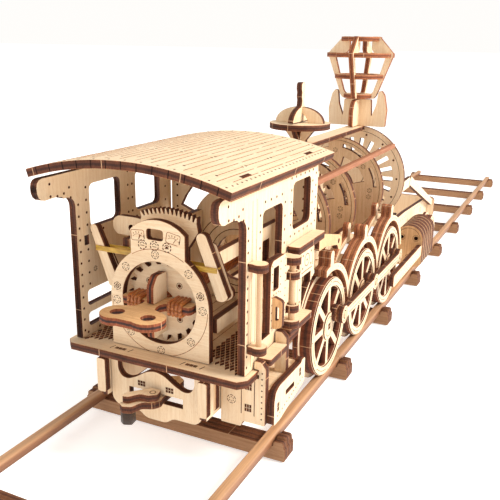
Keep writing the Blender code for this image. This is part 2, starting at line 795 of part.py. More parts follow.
def hub_sheet(name, loops, x0, x1, hub_y, hub_z):
    """A piece along the track whose outline is drawn round a hub."""
    return sheet(name, loops, abs(x1 - x0), "along", ((x0 + x1) / 2, at_y(hub_y), hub_z))


def driving_wheel(name, sign, y):
    """A laminated spoked wheel with its flange, crank boss and crank pin."""
    hub = (y, WHEEL_Z)
    loops = [circle(0, 0, WHEEL_RADIUS, 32), circle(0, 0, AXLE_RADIUS + GAP, 8)]
    loops += wheel_holes(7.2, 18.6, 8)
    wheel = hub_sheet(name, loops, sign * (WHEEL_INNER_X + 0.4), sign * WHEEL_OUTER_X, *hub)
    flange_loops = [circle(0, 0, FLANGE_RADIUS, 32), circle(0, 0, 21.0, 16)]
    flange_x = (sign * WHEEL_INNER_X, sign * (WHEEL_INNER_X + PLY))
    flange = hub_sheet(f"{name}_flange", flange_loops, *flange_x, *hub)
    boss_x = (sign * (WHEEL_OUTER_X - 1.0), sign * (ROD_X - PLY / 2 - GAP))
    boss = hub_sheet(f"{name}_boss", [circle(CRANK_Y, CRANK_Z, 4.2, 12)], *boss_x, *hub)
    pin_x = (sign * (WHEEL_OUTER_X - 2.0), sign * (ROD_X + PLY / 2 + 0.4))
    pin = hub_sheet(f"{name}_pin", [circle(CRANK_Y, CRANK_Z, PIN_RADIUS, 8)], *pin_x, *hub)
    move_origin(join(wheel, flange, boss, pin), 0, *hub)


def build_driving_wheels():
    for index, y in enumerate(WHEEL_YS, start=1):
        for side_name, sign in sides():
            driving_wheel(f"driving_wheel_{side_name}_{index}", sign, y)
        axle = round_bar(f"driving_axle_{index}", -41.6, 41.6, y, WHEEL_Z, AXLE_RADIUS, 12)
        move_origin(axle, 0, y, WHEEL_Z)


def build_pilot_wheels():
    hub = (PILOT_Y, PILOT_Z)
    for side_name, sign in sides():
        name = f"pilot_wheel_{side_name}"
        loops = [circle(0, 0, PILOT_RADIUS, 20), circle(0, 0, AXLE_RADIUS + GAP, 8)]
        loops += wheel_holes(5.0, 9.0, 5)
        wheel = hub_sheet(name, loops, sign * (WHEEL_INNER_X + 0.4), sign * (WHEEL_OUTER_X - 1.5), *hub)
        flange_loops = [circle(0, 0, PILOT_RADIUS + 1.8, 20), circle(0, 0, 10.4, 10)]
        flange_x = (sign * WHEEL_INNER_X, sign * (WHEEL_INNER_X + 2.4))
        flange = hub_sheet(f"{name}_flange", flange_loops, *flange_x, *hub)
        move_origin(join(wheel, flange), 0, *hub)
    axle = round_bar("pilot_axle", -40.0, 40.0, *hub, AXLE_RADIUS, 12)
    move_origin(axle, 0, *hub)


def build_coupling_rods():
    """A rod on each side joins the three crank pins."""
    z = WHEEL_Z + CRANK_Z
    ys = [y + CRANK_Y for y in WHEEL_YS]
    low = []
    for y in ys:
        low += arc(y, z, 4.2, 215, 325, 4)
    high = [(y, 2 * z - v) for y, v in reversed(low)]
    holes = [circle(y, z, PIN_RADIUS + 0.5, 10) for y in ys]
    for side_name, sign in sides():
        rod = side_sheet(
            f"coupling_rod_{side_name}", [low + high] + holes,
            sign * (ROD_X - PLY / 2), sign * (ROD_X + PLY / 2),
        )
        move_origin(rod, sign * ROD_X, ys[1], z)


def splasher_outline():
    """Side view of the wavy splasher: three arches over the wheels, each with a finial."""
    inner, outer = SPLASHER_INNER, SPLASHER_OUTER
    behind = WHEEL_YS[0] - (CAB_FRONT + GAP)
    foot = 38.5 - WHEEL_Z
    pitch = WHEEL_YS[1] - WHEEL_YS[0]
    meet = acos(pitch / 2 / outer) * 180 / pi
    points = []
    for index, y in enumerate(WHEEL_YS):
        begin = 180 - acos(behind / outer) * 180 / pi if index == 0 else 180 - meet
        finish = asin(foot / outer) * 180 / pi if index == len(WHEEL_YS) - 1 else meet
        points += arc(y, WHEEL_Z, outer, begin, 96, 5)
        points += [(y - 2.0, WHEEL_Z + 32.6), (y - 2.4, WHEEL_Z + 34.6), (y, WHEEL_Z + 36.6)]
        points += [(y + 2.4, WHEEL_Z + 34.6), (y + 2.0, WHEEL_Z + 32.6)]
        points += arc(y, WHEEL_Z, outer, 84, finish, 5)
    low = asin(foot / inner) * 180 / pi
    for index, y in reversed(list(enumerate(WHEEL_YS))):
        stop = 180 - acos(behind / inner) * 180 / pi if index == 0 else 180 - low
        points += arc(y, WHEEL_Z, inner, low, stop, 12)
    return points


def build_splashers():
    for side_name, sign in sides():
        splasher = side_sheet(
            f"splasher_{side_name}", [splasher_outline()], sign * 30.5, sign * WHEEL_OUTER_X
        )
        hangers = []
        for y in ((WHEEL_YS[0] + WHEEL_YS[1]) / 2, (WHEEL_YS[1] + WHEEL_YS[2]) / 2):
            hangers.append(
                box(f"splasher_hanger_{side_name}_{int(y)}", sign * 24.4, sign * 31.0,
                    y - 4, y + 4, 41.4, 44.2)
            )
        join(splasher, *hangers)


def build_cylinders():
    """Cylinder casing under an arched cover, with the box guide that faces the rods."""
    for side_name, sign in sides():
        middle = sign * 43.0
        cover = arc(middle, 37.0, 9.0, 0, 180, 10)
        outline = [(middle - 9.0, 19.0), (middle + 9.0, 19.0)] + cover
        holes = [circle(middle - 4.6, 38.0, 1.3, 8), circle(middle + 4.6, 38.0, 1.3, 8)]
        casing = cross_sheet(f"cylinder_{side_name}", [outline] + holes, 236.0, 272.0)
        guide = box(f"guide_{side_name}", sign * 48.4, sign * 51.8, 166.0, 237.0, 27.0, 34.0)
        hanger = box(f"cylinder_hanger_{side_name}", sign * 24.4, sign * 34.6, 248.0, 262.0, 27.0, 33.0)
        join(casing, guide, hanger)


def build_braces():
    """Slanting stays from the smokebox down to the front beam."""
    for side_name, sign in sides():
        outline = [(291.0, 62.0), (296.0, 67.0), (382.6, 33.5), (382.6, 28.5)]
        strut = side_sheet(f"front_brace_{side_name}", [outline], sign * 25.4, sign * 28.4)
        arm = [(253.4, 60.0), (253.4, 66.0), (292.0, 67.0), (297.0, 64.0), (292.0, 60.0)]
        beam = side_sheet(f"brace_arm_{side_name}", [arm], sign * 25.6, sign * 28.2)
        join(strut, beam)


# ---- coupler ----
def build_coupler():
    """Drawbar through the rear beam, with a hooked lower jaw and a latch on top of it."""
    bar = [(-4.0, 19.0), (-4.0, 2.0), (-6.5, -1.0), (-8.4, -8.0), (-6.0, -9.8), (-2.6, -8.6)]
    bar += [(-1.0, -4.0), (3.0, -2.2), (4.6, 0.6), (4.0, 3.0), (4.0, 19.0), (0.0, 21.5)]
    drawbar = flat_sheet("coupler_drawbar", [bar, circle(0, 16, 1.8, 10)], 23.4, 26.2)
    tip = flat_sheet("coupler_tip", [[(-8.2, -8.0), (-5.8, -9.6), (-2.8, -8.4), (-3.2, -4.6), (-7.2, -5.0)]],
                     18.4, 23.6)
    drawbar = join(drawbar, tip)
    move_origin(drawbar, 0, 16, 24.8)
    latch = [(3.4, 2.6), (-1.2, 2.6), (-3.6, -0.6), (-7.8, -5.4), (-7.0, -8.0), (-4.6, -7.4)]
    latch += [(-2.0, -3.6), (1.6, -3.2), (4.2, -1.2)]
    upper = flat_sheet("coupler_latch", [latch], 26.6, 29.4)
    move_origin(upper, 1.6, -0.2, 28.0)


def build_all():
    build_track()
    build_frame()
    build_rear_beam()
    build_front_beam()
    build_cab_floor()
    build_cab_walls()
    build_roof()
    build_bulkhead()
    build_backhead()
    build_quadrant()
    build_side_steps()
    build_hand_rails()
    build_door_post()
    build_cab_door()
    build_window_ledge()
    build_inner_frames()
    build_winding_key()
    build_ratchet_wheel()
    build_rubber_motor()
    build_front_hook()
    build_boiler_gear()
    build_pawl_levers()
    build_boiler_ribs()
    build_smokebox()
    build_longerons()
    build_dome()
    build_chimney()
    build_driving_wheels()
    build_pilot_wheels()
    build_coupling_rods()
    build_splashers()
    build_cylinders()
    build_braces()
    build_coupler()


build_all()
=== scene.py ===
"""A laser-cut birch plywood locomotive kit standing on its track, dressed for a studio picture."""
from math import acos, asin, atan2, cos, degrees, pi, radians, sin, sqrt

import bpy
from mathutils import Matrix, Vector


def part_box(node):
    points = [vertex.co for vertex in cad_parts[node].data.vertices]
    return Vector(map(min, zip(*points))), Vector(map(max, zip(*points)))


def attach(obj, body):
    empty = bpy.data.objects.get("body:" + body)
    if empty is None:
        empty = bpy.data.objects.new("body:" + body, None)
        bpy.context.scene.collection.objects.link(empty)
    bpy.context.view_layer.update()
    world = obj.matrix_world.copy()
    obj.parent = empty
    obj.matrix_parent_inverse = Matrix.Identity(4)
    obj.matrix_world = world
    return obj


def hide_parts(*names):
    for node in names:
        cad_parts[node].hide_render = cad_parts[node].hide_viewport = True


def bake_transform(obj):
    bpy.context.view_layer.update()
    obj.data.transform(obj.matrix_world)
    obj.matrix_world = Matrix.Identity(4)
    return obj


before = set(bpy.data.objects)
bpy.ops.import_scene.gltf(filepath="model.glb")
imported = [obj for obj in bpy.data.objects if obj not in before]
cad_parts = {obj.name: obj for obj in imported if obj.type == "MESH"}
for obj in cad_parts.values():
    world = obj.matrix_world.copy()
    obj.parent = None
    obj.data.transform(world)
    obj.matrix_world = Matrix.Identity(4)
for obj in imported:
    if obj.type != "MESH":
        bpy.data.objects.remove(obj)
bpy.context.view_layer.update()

# ---- studio ----
# A pale table, a bright even room, and a large soft lamp high on the model's right,
# so that its right side and roof are brightest and its rear stands in gentle shade.
camera_data = bpy.data.cameras.new("studio_camera")
camera_data.sensor_width = 36.0
camera_data.lens = 49.56
camera_data.clip_start = 0.01
camera = bpy.data.objects.new("studio_camera", camera_data)
bpy.context.scene.collection.objects.link(camera)
yaw, pitch, roll = radians(-25.498), radians(-16.726), radians(0.905)
forward = Vector((sin(yaw) * cos(pitch), cos(yaw) * cos(pitch), sin(pitch)))
level = Vector((cos(yaw), -sin(yaw), 0.0))
upright = level.cross(forward)
right = level * cos(roll) + upright * sin(roll)
top = upright * cos(roll) - level * sin(roll)
turn = Matrix((right, top, -forward)).transposed().to_4x4()
camera.matrix_world = Matrix.Translation((0.13547, -0.49294, 0.15724)) @ turn
bpy.context.scene.camera = camera
bpy.context.scene.view_settings.view_transform = "Standard"


def lamp(name, place, aim, size, watts, tint):
    """A square soft box that faces a point of the model."""
    data = bpy.data.lights.new(name, "AREA")
    data.shape = "SQUARE"
    data.size = size
    data.energy = watts
    data.color = tint
    light = bpy.data.objects.new(name, data)
    bpy.context.scene.collection.objects.link(light)
    light.location = place
    light.rotation_euler = (Vector(aim) - Vector(place)).to_track_quat("-Z", "Y").to_euler()


lamp("key_lamp", (1.15, 0.05, 0.95), (0.0, -0.1, 0.06), 0.55, 27.0, (1.0, 0.96, 0.90))
lamp("rear_lamp", (-0.35, -1.25, 0.55), (0.0, -0.15, 0.06), 0.7, 2.5, (1.0, 0.94, 0.86))

room = bpy.data.worlds.new("bright_room")
room.use_nodes = True
room.node_tree.nodes["Background"].inputs["Color"].default_value = (1.0, 0.985, 0.96, 1.0)
seen = room.node_tree.nodes.new("ShaderNodeLightPath")
strength = room.node_tree.nodes.new("ShaderNodeMapRange")
strength.inputs["To Min"].default_value = 0.62
strength.inputs["To Max"].default_value = 1.0
room.node_tree.links.new(seen.outputs["Is Camera Ray"], strength.inputs["Value"])
room.node_tree.links.new(strength.outputs["Result"], room.node_tree.nodes["Background"].inputs["Strength"])
bpy.context.scene.world = room


def new_material(name):
    """A node material; returns it with its tree and its main shader."""
    material = bpy.data.materials.new(name)
    material.use_nodes = True
    return material, material.node_tree, material.node_tree.nodes["Principled BSDF"]


def add_node(tree, kind, **settings):
    """Adds a node; settings whose name is a socket's go on that socket."""
    made = tree.nodes.new(kind)
    for key, value in settings.items():
        if hasattr(made, key):
            setattr(made, key, value)
        else:
            made.inputs[key].default_value = value
    return made


def stretched_noise(tree, coordinates, stretch, detail=3.0, roughness=0.55):
    """Noise over coordinates multiplied by a stretch along each axis."""
    mapping = add_node(tree, "ShaderNodeMapping", Scale=stretch)
    noise = add_node(tree, "ShaderNodeTexNoise", Scale=1.0, Detail=detail, Roughness=roughness)
    tree.links.new(coordinates, mapping.inputs["Vector"])
    tree.links.new(mapping.outputs["Vector"], noise.inputs["Vector"])
    return noise.outputs["Fac"]


def ramp(tree, value, stops):
    """A colour ramp over the value; stops are place and colour."""
    made = tree.nodes.new("ShaderNodeValToRGB")
    while len(made.color_ramp.elements) < len(stops):
        made.color_ramp.elements.new(0.5)
    for element, (place, colour) in zip(made.color_ramp.elements, stops):
        element.position = place
        element.color = (*colour, 1.0)
    tree.links.new(value, made.inputs["Fac"])
    return made.outputs["Color"]


def mixed(tree, blend, factor, first, second):
    """A colour mix; the factor and the colours are sockets or plain values."""
    made = add_node(tree, "ShaderNodeMix", data_type="RGBA", blend_type=blend)
    for socket, value in ((made.inputs[0], factor), (made.inputs[6], first), (made.inputs[7], second)):
        if isinstance(value, bpy.types.NodeSocket):
            tree.links.new(value, socket)
        else:
            socket.default_value = value
    return made.outputs[2]


def calculated(tree, operation, first, second=None):
    """A Math node on sockets or plain numbers."""
    made = add_node(tree, "ShaderNodeMath", operation=operation)
    for socket, value in zip(made.inputs, (first, second)):
        if isinstance(value, bpy.types.NodeSocket):
            tree.links.new(value, socket)
        elif value is not None:
            socket.default_value = value
    return made.outputs[0]


def add_bump(tree, shader, height, strength, distance):
    """Raises the surface a little where the height is high."""
    made = add_node(tree, "ShaderNodeBump", Strength=strength, Distance=distance)
    tree.links.new(height, made.inputs["Height"])
    tree.links.new(made.outputs["Normal"], shader.inputs["Normal"])


bpy.ops.mesh.primitive_plane_add(size=1.0, location=(0.0, 0.0, 0.0))
table_top = bpy.context.object
table_top.name = "studio_table"
bpy.ops.object.mode_set(mode="EDIT")
bpy.ops.mesh.subdivide(number_cuts=3)
bpy.ops.transform.resize(value=(40.0, 40.0, 1.0))
bpy.ops.transform.translate(value=(0.0, 0.0, -0.0004))
bpy.ops.object.mode_set(mode="OBJECT")
table_finish, tree, shader = new_material("pale_table")
coordinates = add_node(tree, "ShaderNodeTexCoord").outputs["Object"]
mottle = stretched_noise(tree, coordinates, (9.0, 9.0, 9.0))
tree.links.new(ramp(tree, mottle, ((0.3, (0.93, 0.925, 0.92)), (0.7, (0.96, 0.955, 0.95)))),
               shader.inputs["Base Color"])
shader.inputs["Roughness"].default_value = 0.9
shader.inputs["Specular IOR Level"].default_value = 0.1
shader.inputs["Emission Color"].default_value = (1.0, 0.99, 0.98, 1.0)
shader.inputs["Emission Strength"].default_value = 0.5
table_top.data.materials.append(table_finish)


PLY = 3.0                      # mm
BREAK_SPACING = 31.0           # mm between the pale break marks along an edge
TRACK_MIDDLE = 296.0           # mm from the cab's rear edge to the origin


def mm(value):
    return value * 0.001


def at_y(distance):
    """Y in metres of a place measured forward from the cab's rear edge in millimetres."""
    return mm(distance - TRACK_MIDDLE)


def face_finish(name, light, dark, pore, gloss):
    """Sanded birch face: long soft grain streaks, short pores, faint clouds of tone."""
    material, tree, shader = new_material(name)
    surface = add_node(tree, "ShaderNodeUVMap", uv_map="ply").outputs["UV"]
    streaks = stretched_noise(tree, surface, (55.0, 950.0, 1.0), 4.0)
    colour = ramp(tree, streaks, ((0.30, dark), (0.66, light)))
    pores = stretched_noise(tree, surface, (420.0, 6500.0, 1.0), 2.0, 0.7)
    spots = ramp(tree, pores, ((0.30, pore), (0.46, (1.0, 1.0, 1.0))))
    colour = mixed(tree, "MULTIPLY", 0.75, colour, spots)
    clouds = stretched_noise(tree, surface, (28.0, 60.0, 1.0), 2.0)
    tone = ramp(tree, clouds, ((0.30, (0.93, 0.90, 0.86)), (0.70, (1.0, 1.0, 1.0))))
    colour = mixed(tree, "MULTIPLY", 1.0, colour, tone)
    tree.links.new(colour, shader.inputs["Base Color"])
    shader.inputs["Roughness"].default_value = gloss
    shader.inputs["Specular IOR Level"].default_value = 0.3
    add_bump(tree, shader, calculated(tree, "ADD", streaks, pores), 0.35, 0.00008)
    return material


def ply_bands(tree, depth, rim, outer, middle):
    """The three plies seen in a cut edge, between its two scorched rims."""
    return ramp(tree, depth, (
        (0.0, rim), (0.07, outer), (0.31, outer), (0.39, middle), (0.61, middle),
        (0.69, outer), (0.93, outer), (1.0, rim),
    ))


def soot_over(tree, streaks):
    """The tone of the soot that streaks a cut edge."""
    return ramp(tree, streaks, ((0.30, (0.50, 0.46, 0.44)), (0.52, (1.0, 1.0, 1.0)), (0.75, (1.7, 1.5, 1.4))))


def edge_finish(name, rim, outer, middle, break_mark):
    """Burnt cut edge: the three plies as bands across it, fine upright streaks, pale break marks."""
    material, tree, shader = new_material(name)
    surface = add_node(tree, "ShaderNodeUVMap", uv_map="ply").outputs["UV"]
    split = add_node(tree, "ShaderNodeSeparateXYZ")
    tree.links.new(surface, split.inputs["Vector"])
    along, across = split.outputs["X"], split.outputs["Y"]
    wander = stretched_noise(tree, surface, (420.0, 0.8, 1.0), 3.0)
    shifted = calculated(tree, "MULTIPLY_ADD", wander, 0.16)
    shifted.node.inputs[2].default_value = -0.08
    place = calculated(tree, "ADD", across, shifted)
    bands = ply_bands(tree, place, rim, outer, middle)
    streaks = stretched_noise(tree, surface, (3600.0, 1.6, 1.0), 3.0, 0.7)
    colour = mixed(tree, "MULTIPLY", 0.85, bands, soot_over(tree, streaks))
    patches = stretched_noise(tree, surface, (140.0, 0.7, 1.0), 2.0)
    colour = mixed(tree, "MULTIPLY", 0.8, colour,
                   ramp(tree, patches, ((0.3, (0.68, 0.62, 0.60)), (0.7, (1.35, 1.3, 1.25)))))
    turns = calculated(tree, "FRACT", calculated(tree, "MULTIPLY", along, 1000.0 / BREAK_SPACING))
    marked = calculated(tree, "LESS_THAN", turns, 0.010)
    colour = mixed(tree, "MIX", marked, colour, (*break_mark, 1.0))
    tree.links.new(colour, shader.inputs["Base Color"])
    shader.inputs["Roughness"].default_value = 0.72
    shader.inputs["Specular IOR Level"].default_value = 0.25
    add_bump(tree, shader, streaks, 0.5, 0.00012)
    return material


def char_finish(name, colour):
    """Lines and dots burnt into a face: dark brown, darker where the beam dwelt."""
    material, tree, shader = new_material(name)
    coordinates = add_node(tree, "ShaderNodeTexCoord").outputs["Object"]
    dwell = stretched_noise(tree, coordinates, (900.0, 900.0, 900.0), 2.0)
    lighter = tuple(min(1.0, c * 2.4) for c in colour)
    tree.links.new(ramp(tree, dwell, ((0.35, colour), (0.7, lighter))), shader.inputs["Base Color"])
    shader.inputs["Roughness"].default_value = 0.9
    shader.inputs["Specular IOR Level"].default_value = 0.1
    return material


CREAM = face_finish("birch_face", (0.90, 0.725, 0.52), (0.81, 0.60, 0.385), (0.80, 0.66, 0.52), 0.55)
BURNT_PLIES = ((0.46, 0.185, 0.070), (0.125, 0.043, 0.022), (0.062, 0.023, 0.015))   # rim, outer, middle
BURNT = edge_finish("burnt_edge", *BURNT_PLIES, (0.62, 0.36, 0.20))
CHAR = char_finish("engraving", (0.055, 0.018, 0.010))
FINE_CHAR = char_finish("fine_engraving", (0.20, 0.075, 0.032))

PLANES = {                     # turn that stands a sheet up, and the direction its face looks in
    "flat": ((0.0, 0.0, 0.0), Vector((0, 0, 1))),
    "across": ((pi / 2, 0.0, 0.0), Vector((0, -1, 0))),
    "along": ((pi / 2, 0.0, pi / 2), Vector((1, 0, 0))),
}


def choose(*objects):
    """Selects only these objects, the last one active."""
    bpy.ops.object.select_all(action="DESELECT")
    for obj in objects:
        obj.select_set(True)
    bpy.context.view_layer.objects.active = objects[-1]


def arc(cx, cy, radius, start, end, steps):
    """Points on a circle between two angles in degrees."""
    angles = [radians(start + (end - start) * i / steps) for i in range(steps + 1)]
    return [(cx + radius * cos(a), cy + radius * sin(a)) for a in angles]


def circle(cx, cy, radius, steps=24):
    return arc(cx, cy, radius, 0, 360, steps)[:-1]


def rectangle(x0, y0, x1, y1, corner=0.0, steps=5):
    """A rectangle, its corners rounded where a corner radius is given."""
    if not corner:
        return [(x0, y0), (x1, y0), (x1, y1), (x0, y1)]
    return (
        arc(x1 - corner, y0 + corner, corner, 270, 360, steps)
        + arc(x1 - corner, y1 - corner, corner, 0, 90, steps)
        + arc(x0 + corner, y1 - corner, corner, 90, 180, steps)
        + arc(x0 + corner, y0 + corner, corner, 180, 270, steps)
    )


def mirrored(points):
    return [(-x, y) for x, y in reversed(points)]


def rounded(points, radius, steps=3):
    """The same outline with each corner eased by up to this radius."""
    eased = []
    count = len(points)
    for index, point in enumerate(points):
        here = Vector(point)
        before, after = Vector(points[index - 1]), Vector(points[(index + 1) % count])
        first, second = (before - here), (after - here)
        reach = min(radius, first.length * 0.45, second.length * 0.45)
        start, end = here + first.normalized() * reach, here + second.normalized() * reach
        for step in range(steps + 1):
            t = step / steps
            eased.append(tuple(start * (1 - t) ** 2 + here * 2 * t * (1 - t) + end * t * t))
    return eased


def filled(name, loops, plane, low, high):
    """A closed solid between two levels: the first loop is its outline, the others its holes."""
    curve = bpy.data.curves.new(name, "CURVE")
    curve.dimensions = "2D"
    curve.fill_mode = "BOTH"
    curve.extrude = mm(abs(high - low) / 2)
    for loop in loops:
        spline = curve.splines.new("POLY")
        spline.points.add(len(loop) - 1)
        for point, (x, y) in zip(spline.points, loop):
            point.co = (mm(x), mm(y), 0.0, 1.0)
        spline.use_cyclic_u = True
    solid = bpy.data.objects.new(name, curve)
    bpy.context.scene.collection.objects.link(solid)
    choose(solid)
    bpy.ops.object.convert(target="MESH")
    middle = (low + high) / 2
    solid.rotation_euler = PLANES[plane][0]
    solid.location = {
        "flat": (0.0, at_y(0), mm(middle)),
        "across": (0.0, at_y(middle), 0.0),
        "along": (mm(middle), at_y(0), 0.0),
    }[plane]
    bpy.ops.object.transform_apply(location=True, rotation=True, scale=False)
    bpy.ops.object.mode_set(mode="EDIT")
    bpy.ops.mesh.select_all(action="SELECT")
    bpy.ops.mesh.remove_doubles(threshold=0.000002)
    bpy.ops.mesh.normals_make_consistent(inside=False)
    bpy.ops.object.mode_set(mode="OBJECT")
    return solid


def ease_edges(solid, width, angle=50):
    """Takes the sharpness off the edges, as the beam and a little sanding leave them."""
    choose(solid)
    bevel = solid.modifiers.new("eased", "BEVEL")
    bevel.width = mm(width)
    bevel.segments = 1
    bevel.limit_method = "ANGLE"
    bevel.angle_limit = radians(angle)
    bpy.ops.object.modifier_apply(modifier="eased")


def dress(solid, normal, low, high, grain=None, face=None, edge=None):
    """Gives a plate its face and edge finishes, with the grain and the plies laid out on it."""
    mesh = solid.data
    mesh.materials.clear()
    mesh.materials.append(face or CREAM)
    mesh.materials.append(edge or BURNT)
    if grain is None:
        grain = Vector((0, 0, 1)) if abs(normal.z) < 0.5 else Vector((1, 0, 0))
    other = normal.cross(grain)
    layer = mesh.uv_layers.new(name="ply")
    for polygon in mesh.polygons:
        flat = abs(polygon.normal.dot(normal)) > 0.98
        polygon.material_index = 0 if flat else 1
        side = polygon.normal.cross(normal)
        side = side.normalized() if side.length > 0.05 else grain
        for corner in polygon.loop_indices:
            place = mesh.vertices[mesh.loops[corner].vertex_index].co
            if flat:
                layer.data[corner].uv = (place.dot(grain) + 1.0, place.dot(other) + 1.0)
            else:
                depth = (place.dot(normal) - mm(low)) / mm(high - low)
                layer.data[corner].uv = (place.dot(side) + 1.0, depth)


def plate(name, body, loops, plane, low, high, stands_for=(), grain=None, ease=0.13,
          face=None, edge=None, slot="birch_ply"):
    """A plywood plate cut to its loops, finished and fixed to a body."""
    solid = filled(name, loops, plane, low, high)
    if ease:
        ease_edges(solid, ease)
    normal = PLANES[plane][1]
    levels = [corner.co.dot(normal) * 1000 for corner in solid.data.vertices]
    dress(solid, normal, min(levels), max(levels), grain, face, edge)
    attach(solid, body)
    if stands_for:
        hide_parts(*stands_for)
    return solid


def together(name, *plates):
    """Glues plates into one piece."""
    choose(*reversed(plates))
    bpy.ops.object.join()
    plates[0].name = name
    return plates[0]


# ---- track ----
# Ten sleepers, each three strips on edge glued side by side, carry two rails that lie in notches
# between raised chairs. The rails come in lengths that meet over every second sleeper.
TRACK_REAR = -62.0
TRACK_LENGTH = 716.0
SLEEPER_PITCH = 77.28
RAIL_X = 40.4
RAIL_TOP = 9.8
RAIL_GAP = 0.24                # mm between two lengths of rail
SLEEPER_TOP = 6.0
FIRST_SLEEPER = TRACK_REAR + 5.57

STAINED = face_finish("track_face", (0.40, 0.22, 0.115), (0.28, 0.14, 0.065), (0.7, 0.6, 0.5), 0.6)
TRACK_EDGE = edge_finish("track_edge", (0.24, 0.10, 0.045), (0.17, 0.070, 0.034),
                         (0.085, 0.033, 0.018), (0.40, 0.24, 0.14))


def rail_finish():
    """Rail wood streaked along its length, with painted light: darker flanks and a paler rounded head."""
    material, tree, shader = new_material("rail_wood_painted_light")
    place = add_node(tree, "ShaderNodeTexCoord").outputs["Object"]
    streaks = stretched_noise(tree, place, (900.0, 22.0, 900.0), 4.0)
    split = add_node(tree, "ShaderNodeSeparateXYZ")
    tree.links.new(place, split.inputs["Vector"])
    # Painted shade and highlight: the colour goes by height, dark at the rail's foot and pale on its rounded head.
    height = calculated(tree, "MULTIPLY_ADD", split.outputs["Z"], 1000.0 / 4.2)
    height.node.inputs[2].default_value = -SLEEPER_TOP / 4.2
    shade = ramp(tree, height, ((0.2, (0.20, 0.085, 0.038)), (0.62, (0.30, 0.135, 0.062)),
                                (0.92, (0.55, 0.32, 0.17))))
    grain = ramp(tree, streaks, ((0.3, (0.72, 0.66, 0.62)), (0.7, (1.2, 1.2, 1.2))))
    tree.links.new(mixed(tree, "MULTIPLY", 0.9, shade, grain), shader.inputs["Base Color"])
    shader.inputs["Roughness"].default_value = 0.5
    add_bump(tree, shader, streaks, 0.4, 0.0001)
    return material


RAIL_WOOD_PAINTED_LIGHT = rail_finish()


def sleeper_strip(raised):
    """Section of one strip: the outer two carry the chairs, the middle one a taller stop."""
    chair_in = RAIL_X + 2.5
    high = SLEEPER_TOP + (2.9 if raised else 2.2)
    half = [
        (47.6, 0.0), (48.0, 0.6), (48.0, 5.4), (47.4, SLEEPER_TOP), (47.2, high - 0.5), (46.7, high),
        (chair_in + 0.5, high), (chair_in, high - 0.5), (chair_in, SLEEPER_TOP + 0.1),
        (RAIL_X - 2.3, SLEEPER_TOP + 0.1), (RAIL_X - 2.5, SLEEPER_TOP),
    ]
    return half + mirrored(half)


def lay_sleeper(index):
    start = FIRST_SLEEPER + index * SLEEPER_PITCH
    strips = []
    for layer in range(3):
        y0 = start + layer * PLY
        strips.append(plate(f"sleeper_{index}_{layer}", "track", [sleeper_strip(layer == 1)], "across",
                            y0 + 0.04, y0 + PLY - 0.04, grain=Vector((1, 0, 0)), face=STAINED,
                            edge=TRACK_EDGE, slot="track_ply", ease=0.2))
    return together(f"sleeper_{index}", *strips)


def lay_rail(side, index, y0, y1):
    """One length of rail, with a rounded head."""
    x = side * RAIL_X
    section = [(x - 2.2, SLEEPER_TOP + 0.15), (x + 2.2, SLEEPER_TOP + 0.15)]
    section += arc(x + 1.1, RAIL_TOP - 1.1, 1.1, 0, 90, 4) + arc(x - 1.1, RAIL_TOP - 1.1, 1.1, 90, 180, 4)
    rail = filled(f"rail_{'right' if side > 0 else 'left'}_{index}", [section], "across", y0, y1)
    ease_edges(rail, 0.15)
    rail.data.materials.append(RAIL_WOOD_PAINTED_LIGHT)
    choose(rail)
    bpy.ops.object.shade_smooth_by_angle(angle=radians(35))
    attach(rail, "track")


sleepers = [lay_sleeper(index) for index in range(10)]
joints = [TRACK_REAR]
joints += [FIRST_SLEEPER + 1.5 * PLY + SLEEPER_PITCH * n for n in (2, 4, 6, 8)]
joints += [TRACK_REAR + TRACK_LENGTH]
for side in (-1, 1):
    for index, (y0, y1) in enumerate(zip(joints, joints[1:])):
        lay_rail(side, index, y0 + RAIL_GAP / 2, y1 - RAIL_GAP / 2)
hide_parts("track_section_rear")
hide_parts("track_section_front")


# ---- main frame ----
# Two long plates stand on edge between the wheels from the rear beam to the cowcatcher. They are
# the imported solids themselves, finished as plywood standing along the model.
def solid_ply(axis, low, high, name):
    """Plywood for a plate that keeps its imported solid: faces where it looks along the axis."""
    material, tree, shader = new_material(name)
    place = add_node(tree, "ShaderNodeTexCoord")
    stretch = {"X": (900.0, 900.0, 55.0), "Y": (900.0, 900.0, 55.0), "Z": (55.0, 900.0, 900.0)}[axis]
    streaks = stretched_noise(tree, place.outputs["Object"], stretch, 4.0)
    face = ramp(tree, streaks, ((0.30, (0.81, 0.60, 0.385)), (0.66, (0.90, 0.725, 0.52))))
    split = add_node(tree, "ShaderNodeSeparateXYZ")
    tree.links.new(place.outputs["Object"], split.inputs["Vector"])
    depth = calculated(tree, "MULTIPLY_ADD", split.outputs[axis], 1.0 / (high - low))
    depth.node.inputs[2].default_value = -low / (high - low)
    bands = ply_bands(tree, depth, *BURNT_PLIES)
    fine = tuple(8.0 if letter == axis else 2600.0 for letter in "XYZ")
    soot = stretched_noise(tree, place.outputs["Object"], fine, 3.0, 0.7)
    edge = mixed(tree, "MULTIPLY", 0.85, bands, soot_over(tree, soot))
    facing = add_node(tree, "ShaderNodeSeparateXYZ")
    tree.links.new(place.outputs["Normal"], facing.inputs["Vector"])
    is_face = calculated(tree, "GREATER_THAN", calculated(tree, "ABSOLUTE", facing.outputs[axis]), 0.9)
    tree.links.new(mixed(tree, "MIX", is_face, edge, face), shader.inputs["Base Color"])
    shader.inputs["Roughness"].default_value = 0.6
    shader.inputs["Specular IOR Level"].default_value = 0.3
    add_bump(tree, shader, streaks, 0.35, 0.00008)
    return material


def keep_solid(node, axis):
    """Finishes a packed plate as plywood whose plies are stacked along the axis."""
    low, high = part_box(node)
    index = "XYZ".index(axis)
    material = solid_ply(axis, low[index], high[index], f"ply_{node}")
    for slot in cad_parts[node].material_slots:
        slot.material = material


